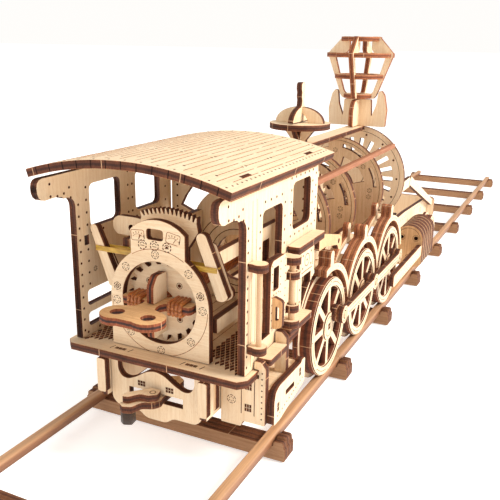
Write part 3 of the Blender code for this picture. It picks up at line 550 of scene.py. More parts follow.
def engrave(name, body, loops, plane, level, outward, finish=None):
    """Burnt lines, dots and rings: shallow inlays that stand a hair out of a plate's face."""
    mark = filled(name, loops, plane, level - 0.02 * outward, level + 0.05 * outward)
    mark.data.materials.append(finish or CHAR)
    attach(mark, body)
    return mark


def line(x0, y0, x1, y1, width=0.28):
    """A thin straight stroke."""
    length = sqrt((x1 - x0) ** 2 + (y1 - y0) ** 2)
    nx, ny = -(y1 - y0) / length * width / 2, (x1 - x0) / length * width / 2
    return [(x0 - nx, y0 - ny), (x1 - nx, y1 - ny), (x1 + nx, y1 + ny), (x0 + nx, y0 + ny)]


def ring(cx, cy, radius, width=0.3, start=0.0, end=359.0, steps=40):
    """A thin curved stroke."""
    half = width / 2
    return arc(cx, cy, radius + half, start, end, steps) + arc(cx, cy, radius - half, end, start, steps)


def dots(points, radius=0.55, steps=7):
    return [circle(x, y, radius, steps) for x, y in points]


def row(x0, y0, x1, y1, count):
    """Evenly spaced places on a straight line, both ends included."""
    return [(x0 + (x1 - x0) * i / (count - 1), y0 + (y1 - y0) * i / (count - 1)) for i in range(count)]


def nut(cx, cy, size=1.9):
    """An engraved bolt head: a ragged round outline with a six-armed nut inside."""
    marks = []
    for index in range(6):
        start = 60 * index
        marks.append(ring(cx, cy, size, 0.26, start + 7, start + 50, 4))
        a, b = radians(start + 15), radians(start + 45)
        marks.append(line(cx + size * 0.55 * cos(a), cy + size * 0.55 * sin(a),
                          cx + size * 0.55 * cos(b), cy + size * 0.55 * sin(b), 0.24))
    return marks


def tab_marks(x0, y0, x1, y1):
    """A tenon showing through its slot: dark end grain in two rows of three cells."""
    marks = []
    middle, cells = (y0 + y1) / 2, 3
    for i in range(cells):
        a = x0 + (x1 - x0) * i / cells
        b = x0 + (x1 - x0) * (i + 1) / cells
        marks.append(rectangle(a + 0.1, y0, b - 0.1, middle - 0.1))
        marks.append(rectangle(a + 0.1, middle + 0.1, b - 0.1, y1))
    return marks


for side_name, sign in (("left", -1), ("right", 1)):
    keep_solid(f"frame_plate_{side_name}", "X")
    marks = []
    for y in (60, 110, 162, 214, 262, 300, 345, 372):
        marks += dots(row(y - 8, 34.5, y + 8, 34.5, 4), 0.5)
        marks += dots(row(y - 8, 22.5, y + 8, 22.5, 4), 0.5)
        marks += nut(y + 14, 29.0)
    engrave(f"frame_marks_{side_name}", "locomotive", marks, "along", sign * 24.0, sign)


# ---- rear beam and buffers ----
# The beam under the cab's rear edge: a plate with a double wave cut out of its top and a long slot
# for the coupler, between two square buffers that stand on the ends of the frame plates.
def soft_wave():
    top = 38.5
    wave = [(-20.6, top), (-17.4, top), (-17.4, 33.0), (-15.6, 30.3), (-12.6, 29.9), (-8.5, 31.8),
            (-4.0, 34.8), (0.0, 35.8)]
    right_wave = [(-x, z) for x, z in wave]
    wave = right_wave + list(reversed(wave[:-1]))
    half = [(-20.6, 20.0), (-18.0, 17.4), (-8.0, 17.4), (-4.5, 14.8)]
    return rounded(half + mirrored(half) + wave, 1.6, 4)


plate("rear_beam_plate", "locomotive", [soft_wave(), rectangle(-12.3, 22.8, 12.3, 26.8)], "across",
      4.0, 7.0, stands_for=("rear_beam",))
marks = tab_marks(-8.2, 28.2, -4.6, 30.4) + tab_marks(4.6, 28.2, 8.2, 30.4)
engrave("rear_beam_marks", "locomotive", marks, "across", 4.0, -1)
for side_name, sign in (("left", -1), ("right", 1)):
    shape = rounded([(20.8, 23.6), (24.8, 23.6), (24.8, 38.0), (20.8, 38.0)], 0.9)
    shape = shape if sign > 0 else mirrored(shape)
    blocks = [plate(f"buffer_{side_name}_{n}", "locomotive", [shape], "across", y, y + 2.96)
              for n, y in enumerate((0.2, 7.2))]
    together(f"buffer_{side_name}", *blocks)
    engrave(f"buffer_marks_{side_name}", "locomotive",
            tab_marks(1.0, 27.0, 2.6, 33.0) + [line(0.6, 25.2, 3.0, 25.2), line(0.6, 35.4, 3.0, 35.4)],
            "along", sign * 24.8, sign)


# ---- cab floor ----
# One plate with cut-back corners. Beside the backhead it is pierced with a lattice of diamonds,
# and the tenons of the plates that stand in it show through in dark little grids.
def lattice(sign):
    """Diamond openings beside and in front of the backhead's foot."""
    openings = []
    for i in range(9):
        for j in range(19):
            x = 17.2 + i * 2.1 + (j % 2) * 1.05
            y = 6.6 + j * 2.1
            nearest = 13.2 if x < 22.9 else 11.0 - 0.42 * (x - 22.9)
            if x > 35.0 or y < nearest:
                continue
            diamond = [(x - 0.8, y), (x, y - 1.6), (x + 0.8, y), (x, y + 1.6)]
            openings.append([(sign * px, py) for px, py in diamond])
    return openings


FLOOR_TOP = 41.9
half = [(37.0, 0.0), (40.0, 3.0), (40.0, 11.6), (38.2, 11.6), (38.2, 56.0), (33.2, 56.0), (33.2, 76.3)]
floor_loop = half + mirrored(half)
plate("floor_plate", "locomotive", [floor_loop] + lattice(-1) + lattice(1), "flat", FLOOR_TOP - PLY,
      FLOOR_TOP, stands_for=("cab_floor",), grain=Vector((1, 0, 0)))
marks = tab_marks(-18.5, 3.6, -13.5, 5.2) + tab_marks(13.5, 3.6, 18.5, 5.2)
for x in (-20.2, -11.8, 11.8, 20.2):
    marks.append(line(x, 3.0, x + 0.8, 5.8, 0.3))
for sign in (-1, 1):
    marks += dots(row(sign * 36.4, 14.0, sign * 36.4, 50.0, 7), 0.5)
engrave("floor_marks", "locomotive", marks, "flat", FLOOR_TOP, 1)
loops = [line(x, 24.0, x, 74.0, 0.22) for x in (-17.5, -12.5, -7.5, -2.5, 2.5, 7.5, 12.5, 17.5)]
engrave("floor_boards", "locomotive", loops, "flat", FLOOR_TOP, 1, FINE_CHAR)


# ---- cab walls ----
# Two tall plates slotted into the floor. Each has two windows, a bracket under the roof's overhang,
# and rows of burnt rivet dots with fine lines round its panels. The right one has the doorway.
WALL_OUTER = 37.8
WALL_INNER = 34.8


def wall_loop():
    bottom, low_angle = 42.2, degrees(asin((42.2 - 33.0) / 30.0))
    high_angle = degrees(acos(11.0 / 30.0))
    arch = arc(84.0, 33.0, 30.0, 180 - low_angle, 180 - high_angle, 14)
    bracket = [(-12.0, 110.2), (-13.6, 109.8), (-14.6, 108.8), (-15.0, 107.2), (-14.9, 105.2),
               (-14.2, 103.5), (-12.9, 102.4), (-11.2, 102.0), (-6.0, 102.2), (-2.4, 101.8)]
    fillet = arc(0.4, 96.4, 4.6, 106, 0, 10)
    return [(5.0, bottom)] + arch + [(73.0, 110.6)] + bracket + fillet


right_holes = [
    rectangle(18.0, 50.5, 36.0, 100.5, 2.5),
    rectangle(46.0, 87.0, 65.0, 106.0, 2.5),
    rounded([(58.6, 48.8), (60.2, 48.8), (64.4, 54.0), (69.0, 58.2), (69.0, 64.6), (58.6, 64.6)], 1.0),
]
left_holes = [
    rectangle(13.5, 86.3, 33.5, 104.0, 2.5),
    rectangle(44.5, 87.0, 63.5, 104.0, 2.5),
    rectangle(9.5, 54.6, 36.0, 61.2, 1.5),
    rectangle(9.5, 45.8, 36.0, 51.6, 1.5),
    rectangle(9.2, 80.0, 12.0, 84.0),
]
plate("wall_left", "locomotive", [wall_loop()] + left_holes, "along", -WALL_OUTER, -WALL_INNER,
      stands_for=("cab_wall_left",))
plate("wall_right", "locomotive", [wall_loop()] + right_holes, "along", WALL_INNER, WALL_OUTER,
      stands_for=("cab_wall_right",))


def frame_dots(y0, z0, y1, z1, along, up):
    """Rivets round a rectangle."""
    level_rows = row(y0, z0, y1, z0, along) + row(y0, z1, y1, z1, along)
    return level_rows + row(y0, z0, y0, z1, up)[1:-1] + row(y1, z0, y1, z1, up)[1:-1]


bracket_dots = [(-8.4, 107.6), (-8.2, 103.0), (-4.6, 102.4), (-1.0, 102.8), (2.6, 100.6), (2.0, 104.6)]
right_dots = bracket_dots + row(6.4, 45.0, 6.4, 97.0, 13) + row(16.0, 51.5, 16.0, 99.5, 9)
right_dots += row(38.2, 52.0, 38.2, 100.0, 10) + row(20.0, 103.6, 35.0, 103.6, 4)
right_dots += frame_dots(44.2, 85.0, 67.0, 108.0, 6, 6) + row(70.8, 60.0, 70.8, 106.0, 10)
right_dots += row(56.6, 48.0, 56.6, 64.0, 4) + row(40.0, 46.0, 54.0, 46.0, 4)
left_dots = bracket_dots + row(6.6, 45.0, 6.6, 97.0, 12) + row(11.4, 88.0, 11.4, 103.0, 4)
left_dots += row(11.2, 63.6, 11.2, 78.0, 4) + row(39.0, 64.0, 39.0, 105.0, 8)
left_dots += row(42.0, 64.0, 42.0, 105.0, 8) + row(14.0, 84.4, 36.0, 84.4, 4) + row(45.0, 84.4, 64.0, 84.4, 4)
left_dots += row(68.0, 50.0, 68.0, 106.0, 10) + row(8.6, 43.6, 60.0, 43.6, 8)
fine = [line(-7.0, 108.9, 71.0, 108.9, 0.2)]
fine += [line(9.6, 44.0, 9.6, 106.0, 0.2), line(13.0, 46.0, 13.0, 106.0, 0.2)]
fine += [line(41.0, 46.0, 41.0, 84.0, 0.2), line(54.2, 48.0, 54.2, 65.0, 0.2)]
engrave("wall_marks_right", "locomotive", dots(right_dots), "along", WALL_OUTER, 1)
engrave("wall_lines_right", "locomotive", fine, "along", WALL_OUTER, 1, FINE_CHAR)
engrave("wall_marks_right_inside", "locomotive", dots(right_dots), "along", WALL_INNER, -1)
engrave("wall_marks_left", "locomotive", dots(left_dots), "along", -WALL_OUTER, -1)
engrave("wall_lines_left", "locomotive", fine[:3], "along", -WALL_OUTER, -1, FINE_CHAR)
inside = dots(left_dots) + nut(15.0, 69.0, 1.0)
engrave("wall_marks_left_inside", "locomotive", inside, "along", -WALL_INNER, 1)


# ---- roof ----
# One plate kerfed with long saw-like lines so that it bends over the walls. The kerfs show as rows
# of thin lines along the roof and as dark slits in its rear and front edges.
ROOF_HALF, ROOF_RISE = 41.3, 6.3
ROOF_RADIUS = (ROOF_HALF ** 2 + ROOF_RISE ** 2) / (2 * ROOF_RISE)
ROOF_CENTRE = 119.5 - ROOF_RADIUS
ROOF_REAR, ROOF_FRONT = -12.8, 83.0
roof_reach = degrees(asin(ROOF_HALF / ROOF_RADIUS))
outer = arc(0, ROOF_CENTRE, ROOF_RADIUS, 90 - roof_reach, 90 + roof_reach, 48)
inner = arc(0, ROOF_CENTRE, ROOF_RADIUS - PLY, 90 + roof_reach, 90 - roof_reach, 48)
roof = filled("roof_sheet", [outer + inner], "across", ROOF_REAR, ROOF_FRONT)
ease_edges(roof, 0.15)
choose(roof)
bpy.ops.object.mode_set(mode="EDIT")
for step in range(-9, 10):
    bpy.ops.mesh.select_all(action="SELECT")
    bpy.ops.mesh.bisect(plane_co=(mm(4.3 * step + 0.7), 0, 0), plane_no=(1, 0, 0))
bpy.ops.object.mode_set(mode="OBJECT")
mesh = roof.data
mesh.materials.append(CREAM)
mesh.materials.append(BURNT)
layer = mesh.uv_layers.new(name="ply")
for polygon in mesh.polygons:
    centre = polygon.center
    across_roof = atan2(centre.x, centre.z - mm(ROOF_CENTRE))
    outward = Vector((sin(across_roof), 0, cos(across_roof)))
    is_face = abs(polygon.normal.dot(outward)) > 0.95
    polygon.material_index = 0 if is_face else 1
    for corner in polygon.loop_indices:
        place = mesh.vertices[mesh.loops[corner].vertex_index].co
        angle = atan2(place.x, place.z - mm(ROOF_CENTRE))
        reach = Vector((place.x, 0, place.z - mm(ROOF_CENTRE))).length
        unrolled = angle * mm(ROOF_RADIUS) + 1.0
        if is_face:
            layer.data[corner].uv = (place.y + 1.0, unrolled)
        else:
            along = unrolled if abs(polygon.normal.y) > 0.5 else place.y + 1.0
            layer.data[corner].uv = (along, (reach - mm(ROOF_RADIUS - PLY)) / mm(PLY))
choose(roof)
bpy.ops.object.shade_smooth_by_angle(angle=radians(25))
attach(roof, "locomotive")
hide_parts("cab_roof")


def wrap_over_roof(mark, lift):
    """Bends a flat engraving, drawn at height zero, over the roof's outer face."""
    for vertex in mark.data.vertices:
        angle = vertex.co.x / mm(ROOF_RADIUS)
        reach = mm(ROOF_RADIUS + lift) + vertex.co.z
        vertex.co.x, vertex.co.z = reach * sin(angle), mm(ROOF_CENTRE) + reach * cos(angle)


FIRST_KERF, KERF_PITCH, KERF_COUNT = -37.2, 3.1, 25
kerfs, burns = [], []
for n in range(KERF_COUNT):
    x = FIRST_KERF + KERF_PITCH * n
    gap = 27.0 if n % 2 else 19.0
    y = ROOF_REAR + (4.0 if n % 2 else 9.5)
    while y < ROOF_FRONT - 4.0:
        end = min(y + gap, ROOF_FRONT - 3.5)
        kerfs.append(line(x, y, x, end, 0.26))
        burns += [(x, y), (x, end)] if n % 4 == 2 else []
        y = end + (3.0 if n % 2 else 2.4)
edge_dots = row(-38.6, ROOF_REAR + 2.4, 38.6, ROOF_REAR + 2.4, 13)
edge_dots += row(-38.6, ROOF_FRONT - 2.4, 38.6, ROOF_FRONT - 2.4, 13)
for x in (38.9, -38.9):
    edge_dots += row(x, ROOF_REAR + 6.0, x, ROOF_FRONT - 6.0, 26)
slots = [rectangle(s * 36.4 - 0.9, y, s * 36.4 + 0.9, y + 7.0) for s in (-1, 1) for y in (4.0, 62.0)]
for name, loops, finish in (("roof_kerfs", kerfs, FINE_CHAR),
                            ("roof_rivets", dots(edge_dots, 0.42) + dots(burns, 0.5) + slots, CHAR)):
    mark = filled(name, loops, "flat", 0.0, 0.07)
    wrap_over_roof(mark, -0.02)
    mark.data.materials.append(finish)
    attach(mark, "locomotive")
slits = []
for n in range(0, KERF_COUNT, 2):
    angle = radians(90) - (FIRST_KERF + KERF_PITCH * n) / ROOF_RADIUS
    r0, r1 = ROOF_RADIUS - 2.95, ROOF_RADIUS - 0.05
    slits.append(line(r0 * cos(angle), ROOF_CENTRE + r0 * sin(angle),
                      r1 * cos(angle), ROOF_CENTRE + r1 * sin(angle), 0.34))
SOOT = char_finish("kerf_soot", (0.012, 0.006, 0.005))
engrave("roof_slits_rear", "locomotive", slits, "across", ROOF_REAR, -1, SOOT)
engrave("roof_slits_front", "locomotive", slits, "across", ROOF_FRONT, 1, SOOT)


# ---- bulkhead and motor bars ----
# The cab's front wall stands behind the motor, engraved with rings round the motor's opening. Two
# bars on each side, joined in front, carry the motor inside the cab. All are plain plywood plates.
MOTOR_Z = 62.6
keep_solid("cab_bulkhead", "Y")
marks = [ring(0, MOTOR_Z, r, 0.35, a, b) for r, a, b in
         ((13.5, 0, 359), (17.0, 20, 160), (17.0, 200, 340), (20.5, 30, 80), (20.5, 100, 150))]
marks += dots(row(-31.5, 68, -31.5, 104, 8) + row(31.5, 68, 31.5, 104, 8))
marks += dots(row(-24, 108.6, 24, 108.6, 9))
engrave("bulkhead_marks_rear", "locomotive", marks, "across", 73.3, -1)
engrave("bulkhead_marks_front", "locomotive", marks, "across", 76.0, 1)
for side_name, sign in (("left", -1), ("right", 1)):
    keep_solid(f"inner_frame_{side_name}", "X")


# ---- backhead ----
# The rear plate of the boiler: a square foot, a great ring with ten engraved bolt heads round the
# winding hole, and above it a panel engraved with gauges. A toothed sector stands behind the panel.
def backhead_loop():
    shoulder = degrees(asin(11.8 / 21.8))
    right_side = arc(0, MOTOR_Z, 21.8, 0, 90 - shoulder, 14)
    panel = arc(0, 78.0, 17.0, 46, 134, 18)
    left_side = arc(0, MOTOR_Z, 21.8, 90 + shoulder, 180, 14)
    return [(-21.8, 42.2), (21.8, 42.2)] + right_side + panel + left_side


plate("backhead_plate", "locomotive",
      [backhead_loop(), circle(0, MOTOR_Z, 16.4, 64), rectangle(-4.6, 87.2, 2.6, 91.4, 1.1)],
      "across", 7.6, 10.6, stands_for=("backhead",), grain=Vector((1, 0, 0)))
BOLT_ANGLES = (93, 139, 46, 185, 1, 227, 317, 272)
marks = []
for angle in BOLT_ANGLES:
    marks += nut(19.1 * cos(radians(angle)), MOTOR_Z + 19.1 * sin(radians(angle)), 1.55)
for angle in (168, 18):
    cx, cz = 19.1 * cos(radians(angle)), MOTOR_Z + 19.1 * sin(radians(angle))
    marks += [ring(cx, cz, 1.5, 0.3, 60 * n + 5, 60 * n + 48, 4) for n in range(6)]
    marks += [ring(cx, cz, 0.75, 0.3), line(cx - 0.4, cz + 0.4, cx + 0.4, cz - 0.4, 0.25)]
for cx, cz in ((-6.5, 84.9), (-1.2, 85.0), (4.2, 85.1)):
    marks += [ring(cx, cz, 1.75, 0.4, 45 * n + 6, 45 * n + 34, 3) for n in range(8)]
    marks += [ring(cx, cz, 0.95, 0.25, 20, 160, 8), line(cx - 0.9, cz - 0.3, cx + 0.9, cz - 0.3, 0.22)]
marks.append(circle(4.2, 85.1, 0.55, 10))
engrave("backhead_bolts", "locomotive", marks, "across", 7.6, -1)


def dial_box(cx, cz, tilt):
    """A gauge in a rounded frame: its arc of ticks, its needle and its frame line."""
    def turned(points):
        c, s = cos(radians(tilt)), sin(radians(tilt))
        return [(cx + x * c - y * s, cz + x * s + y * c) for x, y in points]

    def gapped(points):
        """The same line, stopped just short of its last point."""
        (x0, y0), (x1, y1) = points[-2:]
        return points[:-1] + [(x0 * 0.02 + x1 * 0.98, y0 * 0.02 + y1 * 0.98)]

    box_out = rectangle(-3.0, -2.1, 3.0, 2.1, 0.8, 4)
    box_in = rectangle(-2.78, -1.88, 2.78, 1.88, 0.6, 4)
    marks = []
    quarter = len(box_out) // 4
    for n in range(4):
        a = [box_out[(n * quarter + i) % len(box_out)] for i in range(quarter + 1)]
        b = [box_in[(n * quarter + i) % len(box_in)] for i in range(quarter + 1)]
        marks.append(turned(gapped(a) + list(reversed(gapped(b)))))
    for k in range(6):
        c, s = cos(radians(40 + 20 * k)), sin(radians(40 + 20 * k))
        marks.append(turned(line(3.2 * c, -2.4 + 3.2 * s, 3.9 * c, -2.4 + 3.9 * s, 0.24)))
    marks.append(turned(ring(0, -2.4, 2.8, 0.16, 42, 138, 12)))
    marks.append(turned(line(0.3, -1.6, 1.2, 0.2, 0.24)))
    return marks


engrave("backhead_dials", "locomotive", dial_box(-8.5, 88.3, 4) + dial_box(6.9, 88.7, -10),
        "across", 7.6, -1, FINE_CHAR)
engrave("backhead_rings", "locomotive",
        [ring(0, MOTOR_Z, 21.2, 0.22, 181, 359, 60), ring(0, MOTOR_Z, 21.2, 0.22, 58, 122, 24)],
        "across", 7.6, -1, FINE_CHAR)


def sector_loop():
    """The toothed sector: a band whose top is cut in sloping saw teeth."""
    teeth = []
    count, first, span = 14, 68.0, 44.0
    for index in range(count):
        for offset, radius in ((0.05, 33.0), (0.45, 35.1), (0.70, 35.1), (0.80, 33.0)):
            angle = radians(first + span * (index + offset) / count)
            teeth.append((radius * cos(angle), MOTOR_Z + radius * sin(angle)))
    return arc(0, MOTOR_Z, 22.0, 112, 68, 12) + [(12.9, 90.0)] + teeth + [(-12.9, 90.0)]


plate("sector_plate", "locomotive", [sector_loop()], "across", 15.4, 18.4,
      stands_for=("toothed_quadrant",), grain=Vector((1, 0, 0)), ease=0.08)


# ---- levers and their bands ----
# Two stop levers, each two plates thick with a round knob, lean the same way beside the backhead.
# A small mustard rubber band, hooked behind the panel, pulls each of them back.
def lever_loop(x, z0, lean, reach, half, foot):
    """A bar from its pivot to its rounded top."""
    dx, dz = lean * 8.0, 20.0
    length = sqrt(dx * dx + dz * dz)
    ux, uz = dx / length, dz / length
    heading = degrees(atan2(uz, ux))
    tip = (x + ux * reach, z0 + uz * reach)
    rounded_top = arc(*tip, half, heading - 90, heading + 90, 10)
    return rounded_top + arc(x, z0, foot, heading + 130, heading + 230, 12)


for side_name, x, z0, half in (("left", -24.4, 67.5, 1.7), ("right", 24.4, 69.5, 2.2)):
    bar = plate(f"lever_bar_{side_name}", f"lever_{side_name}",
                [lever_loop(x + (2.2 - half), z0, -1.0, 21.0, half, 3.2)], "across", 11.4, 14.4,
                stands_for=(f"pawl_lever_{side_name}",), grain=Vector((-0.37, 0, 0.93)))
    knob = plate(f"lever_knob_{side_name}", f"lever_{side_name}", [circle(x + 0.8, z0 - 0.6, 2.9, 28)],
                 "across", 14.45, 16.4)
    cheek = [lever_loop(x + 1.4, z0 + 0.2, -1.0, 17.0 if side_name == "right" else 9.0, half - 0.3, 2.4)]
    brace = plate(f"lever_cheek_{side_name}", f"lever_{side_name}", cheek, "across", 14.44, 15.2)
    together(f"lever_{side_name}_piece", bar, knob, brace)
anchor = rounded([(-13.2, 83.7), (-13.2, 90.8), (-17.0, 91.4), (-25.6, 91.4), (-28.0, 89.4), (-28.0, 86.0),
                  (-26.2, 83.8), (-22.0, 83.7)], 1.4, 4)
plate("band_anchor", "locomotive", [anchor, circle(-19.4, 87.0, 1.3, 20)], "across", 18.9, 21.7)


def band_finish():
    """Mustard latex: slightly clear, with faint paler scuffs where it is stretched."""
    material, tree, shader = new_material("yellow_band")
    place = add_node(tree, "ShaderNodeTexCoord").outputs["Object"]
    scuffs = stretched_noise(tree, place, (300.0, 1200.0, 1200.0), 3.0)
    tree.links.new(ramp(tree, scuffs, ((0.3, (0.42, 0.20, 0.015)), (0.7, (0.72, 0.42, 0.06)))),
                   shader.inputs["Base Color"])
    shader.inputs["Roughness"].default_value = 0.38
    shader.inputs["Subsurface Weight"].default_value = 0.15
    add_bump(tree, shader, scuffs, 0.3, 0.0001)
    return material


YELLOW = band_finish()


def stretched_band(name, x0, x1, y0, y1, z, tall):
    """A flat band pulled into a long loop between two posts."""
    wall = 0.55
    outline = rectangle(x0, y0, x1, y1, 1.6, 8)
    inside = rectangle(x0 + wall, y0 + wall, x1 - wall, y1 - wall, 1.1, 8)
    band = filled(name, [outline, inside], "flat", z - tall / 2, z + tall / 2)
    ease_edges(band, 0.12)
    choose(band)
    bpy.ops.object.mode_set(mode="EDIT")
    bpy.ops.mesh.select_all(action="SELECT")
    bpy.ops.mesh.subdivide(number_cuts=1)
    bpy.ops.object.mode_set(mode="OBJECT")
    bpy.ops.object.shade_smooth_by_angle(angle=radians(40))
    band.data.materials.append(YELLOW)
    return band


band = stretched_band("lever_band_left", -31.6, -8.0, 10.8, 15.0, 79.4, 2.0)
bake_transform(band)
band = stretched_band("lever_band_right", 9.0, 23.4, 10.8, 15.0, 78.0, 2.0)
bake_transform(band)
band = stretched_band("under_floor_band", -16.5, 17.0, 18.0, 24.0, 34.0, 2.2)
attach(band, "locomotive")


# ---- winding key and ratchet ----
# The key lies flat and an upright fin crosses it, so two plates half-lapped together turn in the
# backhead's hole. Its arms hold the motor bands, and the ratchet wheel behind it has hooked teeth.
WARM = face_finish("scorched_face", (0.80, 0.52, 0.27), (0.60, 0.34, 0.16), (0.66, 0.5, 0.36), 0.5)
KEY_EDGE = edge_finish("key_edge", (0.52, 0.20, 0.07), (0.25, 0.075, 0.034),
                       (0.05, 0.026, 0.024), (0.70, 0.42, 0.24))
right_half = (
    arc(6.6, -9.2, 6.4, -120, 60, 20)
    + [(4.6, -1.8), (3.6, 0.5), (3.4, 3.2), (4.6, 5.2), (14.4, 5.2), (15.2, 6.2), (15.2, 9.6),
       (14.4, 10.6), (3.4, 11.2)]
)
key = plate("key_plate", "winding_shaft",
            [right_half + mirrored(right_half), circle(6.6, -9.2, 2.7, 28), circle(-6.6, -9.2, 2.7, 28)],
            "flat", MOTOR_Z - 1.5, MOTOR_Z + 1.5, grain=Vector((1, 0, 0)), face=WARM, edge=KEY_EDGE, ease=0.3)
upper = rounded([(2.0, MOTOR_Z + 1.55), (11.3, MOTOR_Z + 1.55), (11.3, 74.6), (5.0, 74.6), (2.2, 71.0)], 0.9)
lower = rounded([(2.0, MOTOR_Z - 1.55), (2.0, 50.6), (11.3, 50.6), (11.3, MOTOR_Z - 1.55)], 0.9)
fins = [plate(f"key_fin_{n}", "winding_shaft", [loop], "along", -1.5, 1.5, edge=KEY_EDGE, ease=0.25)
        for n, loop in enumerate((upper, lower))]
key = together("winding_key_piece", key, *fins)
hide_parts("winding_key")


def toothed(cx, cy, root, tip, count, profile, phase=0.0):
    """A gear's outline; the profile lists places across one tooth and how far out each is."""
    points = []
    for index in range(count):
        for offset, height in profile:
            angle = radians(phase + 360.0 / count * (index + offset))
            radius = root + (tip - root) * height
            points.append((cx + radius * cos(angle), cy + radius * sin(angle)))
    return points


HOOKED = ((-0.34, 0.0), (-0.20, 0.55), (-0.22, 0.95), (0.0, 1.0), (0.16, 0.92), (0.20, 0.5), (0.30, 0.0))
SPUR = ((-0.30, 0.0), (-0.22, 0.25), (-0.14, 0.9), (-0.08, 1.0),
        (0.08, 1.0), (0.14, 0.9), (0.22, 0.25), (0.30, 0.0))
loops = [toothed(0, MOTOR_Z, 14.2, 16.8, 20, HOOKED), circle(0, MOTOR_Z, 4.0, 28)]
plate("ratchet_plate", "winding_shaft", loops, "across", 11.8, 14.8, stands_for=("ratchet_wheel",),
      grain=Vector((1, 0, 0)), ease=0.08)
marks = []
for index in range(4):
    angle = radians(45 + 90 * index)
    cx, cz = 9.6 * cos(angle), MOTOR_Z + 9.6 * sin(angle)
    marks += [circle(cx, cz, 0.75, 14), ring(cx, cz, 1.15, 0.22)]
engrave("ratchet_marks", "winding_shaft", marks, "across", 11.8, -1)


# ---- rubber motor ----
# Brown latex bands are hooked over both arms of the key. Their sixteen strands run forward in one
# twisted bundle to the hook on the output gear, and winding the key twists them up.
def rubber_finish():
    """Amber-brown latex with streaks along each strand."""
    material, tree, shader = new_material("brown_bands")
    place = add_node(tree, "ShaderNodeTexCoord").outputs["Object"]
    streaks = stretched_noise(tree, place, (1500.0, 160.0, 1500.0), 3.0)
    tree.links.new(ramp(tree, streaks, ((0.28, (0.19, 0.040, 0.008)), (0.55, (0.44, 0.125, 0.028)),
                                        (0.8, (0.68, 0.26, 0.075)))), shader.inputs["Base Color"])
    shader.inputs["Roughness"].default_value = 0.42
    shader.inputs["Subsurface Weight"].default_value = 0.1
    add_bump(tree, shader, streaks, 0.4, 0.0001)
    return material


BROWN_RUBBER = rubber_finish()


def strand_points(number, count, arm_x, arm_z):
    """A strand's path from the key's arm to the hook, turning round the bundle's axis."""
    points = [(arm_x, 4.5 + forward * 0.4, MOTOR_Z + arm_z * rise)
              for forward, rise in ((0.0, 0.0), (0.5, 0.55), (1.0, 0.95))]
    steps, first_y, hook_y, twist_y, twist_pitch = 150, 6.0, 202.5, 12.0, 34.0
    for step in range(steps + 1):
        y = first_y + (hook_y - first_y) * step / steps
        blend = min(1.0, max(0.0, (y - twist_y) / 22.0))
        blend = blend * blend * (3 - 2 * blend)
        angle = 2 * pi * number / count + (y - twist_y) / twist_pitch * 2 * pi * blend
        reach = 2.45 * (1.0 if number % 2 else 0.92)
        bundle_x, bundle_z = reach * cos(angle), reach * sin(angle)
        points.append((arm_x * (1 - blend) + bundle_x * blend, y,
                       MOTOR_Z + arm_z * (1 - blend) + bundle_z * blend))
    return points


strands = []
count = 16
for number in range(count):
    side = -1 if number % 2 else 1
    slot = number // 2 % 4
    above = 1 if number < 8 else -1
    arm_x = side * (6.5 + 1.6 * slot)
    arm_z = above * 2.25
    curve = bpy.data.curves.new(f"strand_{number}", "CURVE")
    curve.dimensions = "3D"
    curve.bevel_depth = mm(0.82)
    curve.bevel_resolution = 2
    curve.use_fill_caps = True
    path = strand_points(number, count, arm_x, arm_z)
    spline = curve.splines.new("POLY")
    spline.points.add(len(path) - 1)
    for point, (x, y, z) in zip(spline.points, path):
        point.co = (mm(x), at_y(y), mm(z), 1.0)
    strand = bpy.data.objects.new(f"strand_{number}", curve)
    bpy.context.scene.collection.objects.link(strand)
    choose(strand)
    bpy.ops.object.convert(target="MESH")
    bpy.ops.object.mode_set(mode="EDIT")
    bpy.ops.mesh.select_all(action="SELECT")
    bpy.ops.mesh.remove_doubles(threshold=0.000001)
    bpy.ops.object.mode_set(mode="OBJECT")
    strands.append(strand)
bundle = together("motor_bands", *strands)
bpy.ops.object.shade_smooth()
bundle.data.materials.append(BROWN_RUBBER)
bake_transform(bundle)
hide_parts("rubber_motor")


# ---- boiler ----
# The boiler is a row of round ribs cut through with curved slots, so that the gears show inside it.
# The gear shaft, with a large and a small spur gear, crosses it behind the first rib.
BOILER_Z, RIB_RADIUS = 72.3, 31.0
foot_angle = -degrees(asin((BOILER_Z - FLOOR_TOP) / RIB_RADIUS))
# The ribs get a darker tan copy of the birch face: painted shade for the inside of the boiler.
RIB_FACE_PAINTED_SHADE = face_finish("rib_face_painted_shade", (0.80, 0.575, 0.36), (0.66, 0.435, 0.245), (0.7, 0.55, 0.42), 0.6)


def slotted(inner, outer, start, end, steps=12):
    return arc(0, BOILER_Z, outer, start, end, steps) + arc(0, BOILER_Z, inner, end, start, steps)


for name, y in (("rear", 112.0), ("middle", 153.0), ("front", 208.0)):
    loops = [arc(0, BOILER_Z, RIB_RADIUS, foot_angle, 180 - foot_angle, 72), circle(0, MOTOR_Z, 6.5, 32)]
    loops += [slotted(25.2, 27.4, a, b) for a, b in ((5, 32), (48, 80), (100, 132), (148, 175))]
    loops += [slotted(12.0, 20.0, a, b, 16) for a, b in ((15, 75), (105, 165))]
    plate(f"rib_{name}", "locomotive", loops, "across", y - 1.5, y + 1.5,
          stands_for=(f"boiler_rib_{name}",), ease=0.1, face=RIB_FACE_PAINTED_SHADE)
    marks = [ring(0, BOILER_Z, 29.2, 0.22, foot_angle + 4, 176 - foot_angle, 60),
             ring(0, MOTOR_Z, 8.2, 0.25)]
    for angle in (-10, 0, 38, 90, 142, 180, 190):
        marks += nut(23.0 * cos(radians(angle)), BOILER_Z + 23.0 * sin(radians(angle)), 1.3)
    engrave(f"rib_marks_{name}_rear", "locomotive", marks, "across", y - 1.5, -1)
    engrave(f"rib_marks_{name}_front", "locomotive", marks, "across", y + 1.5, 1)

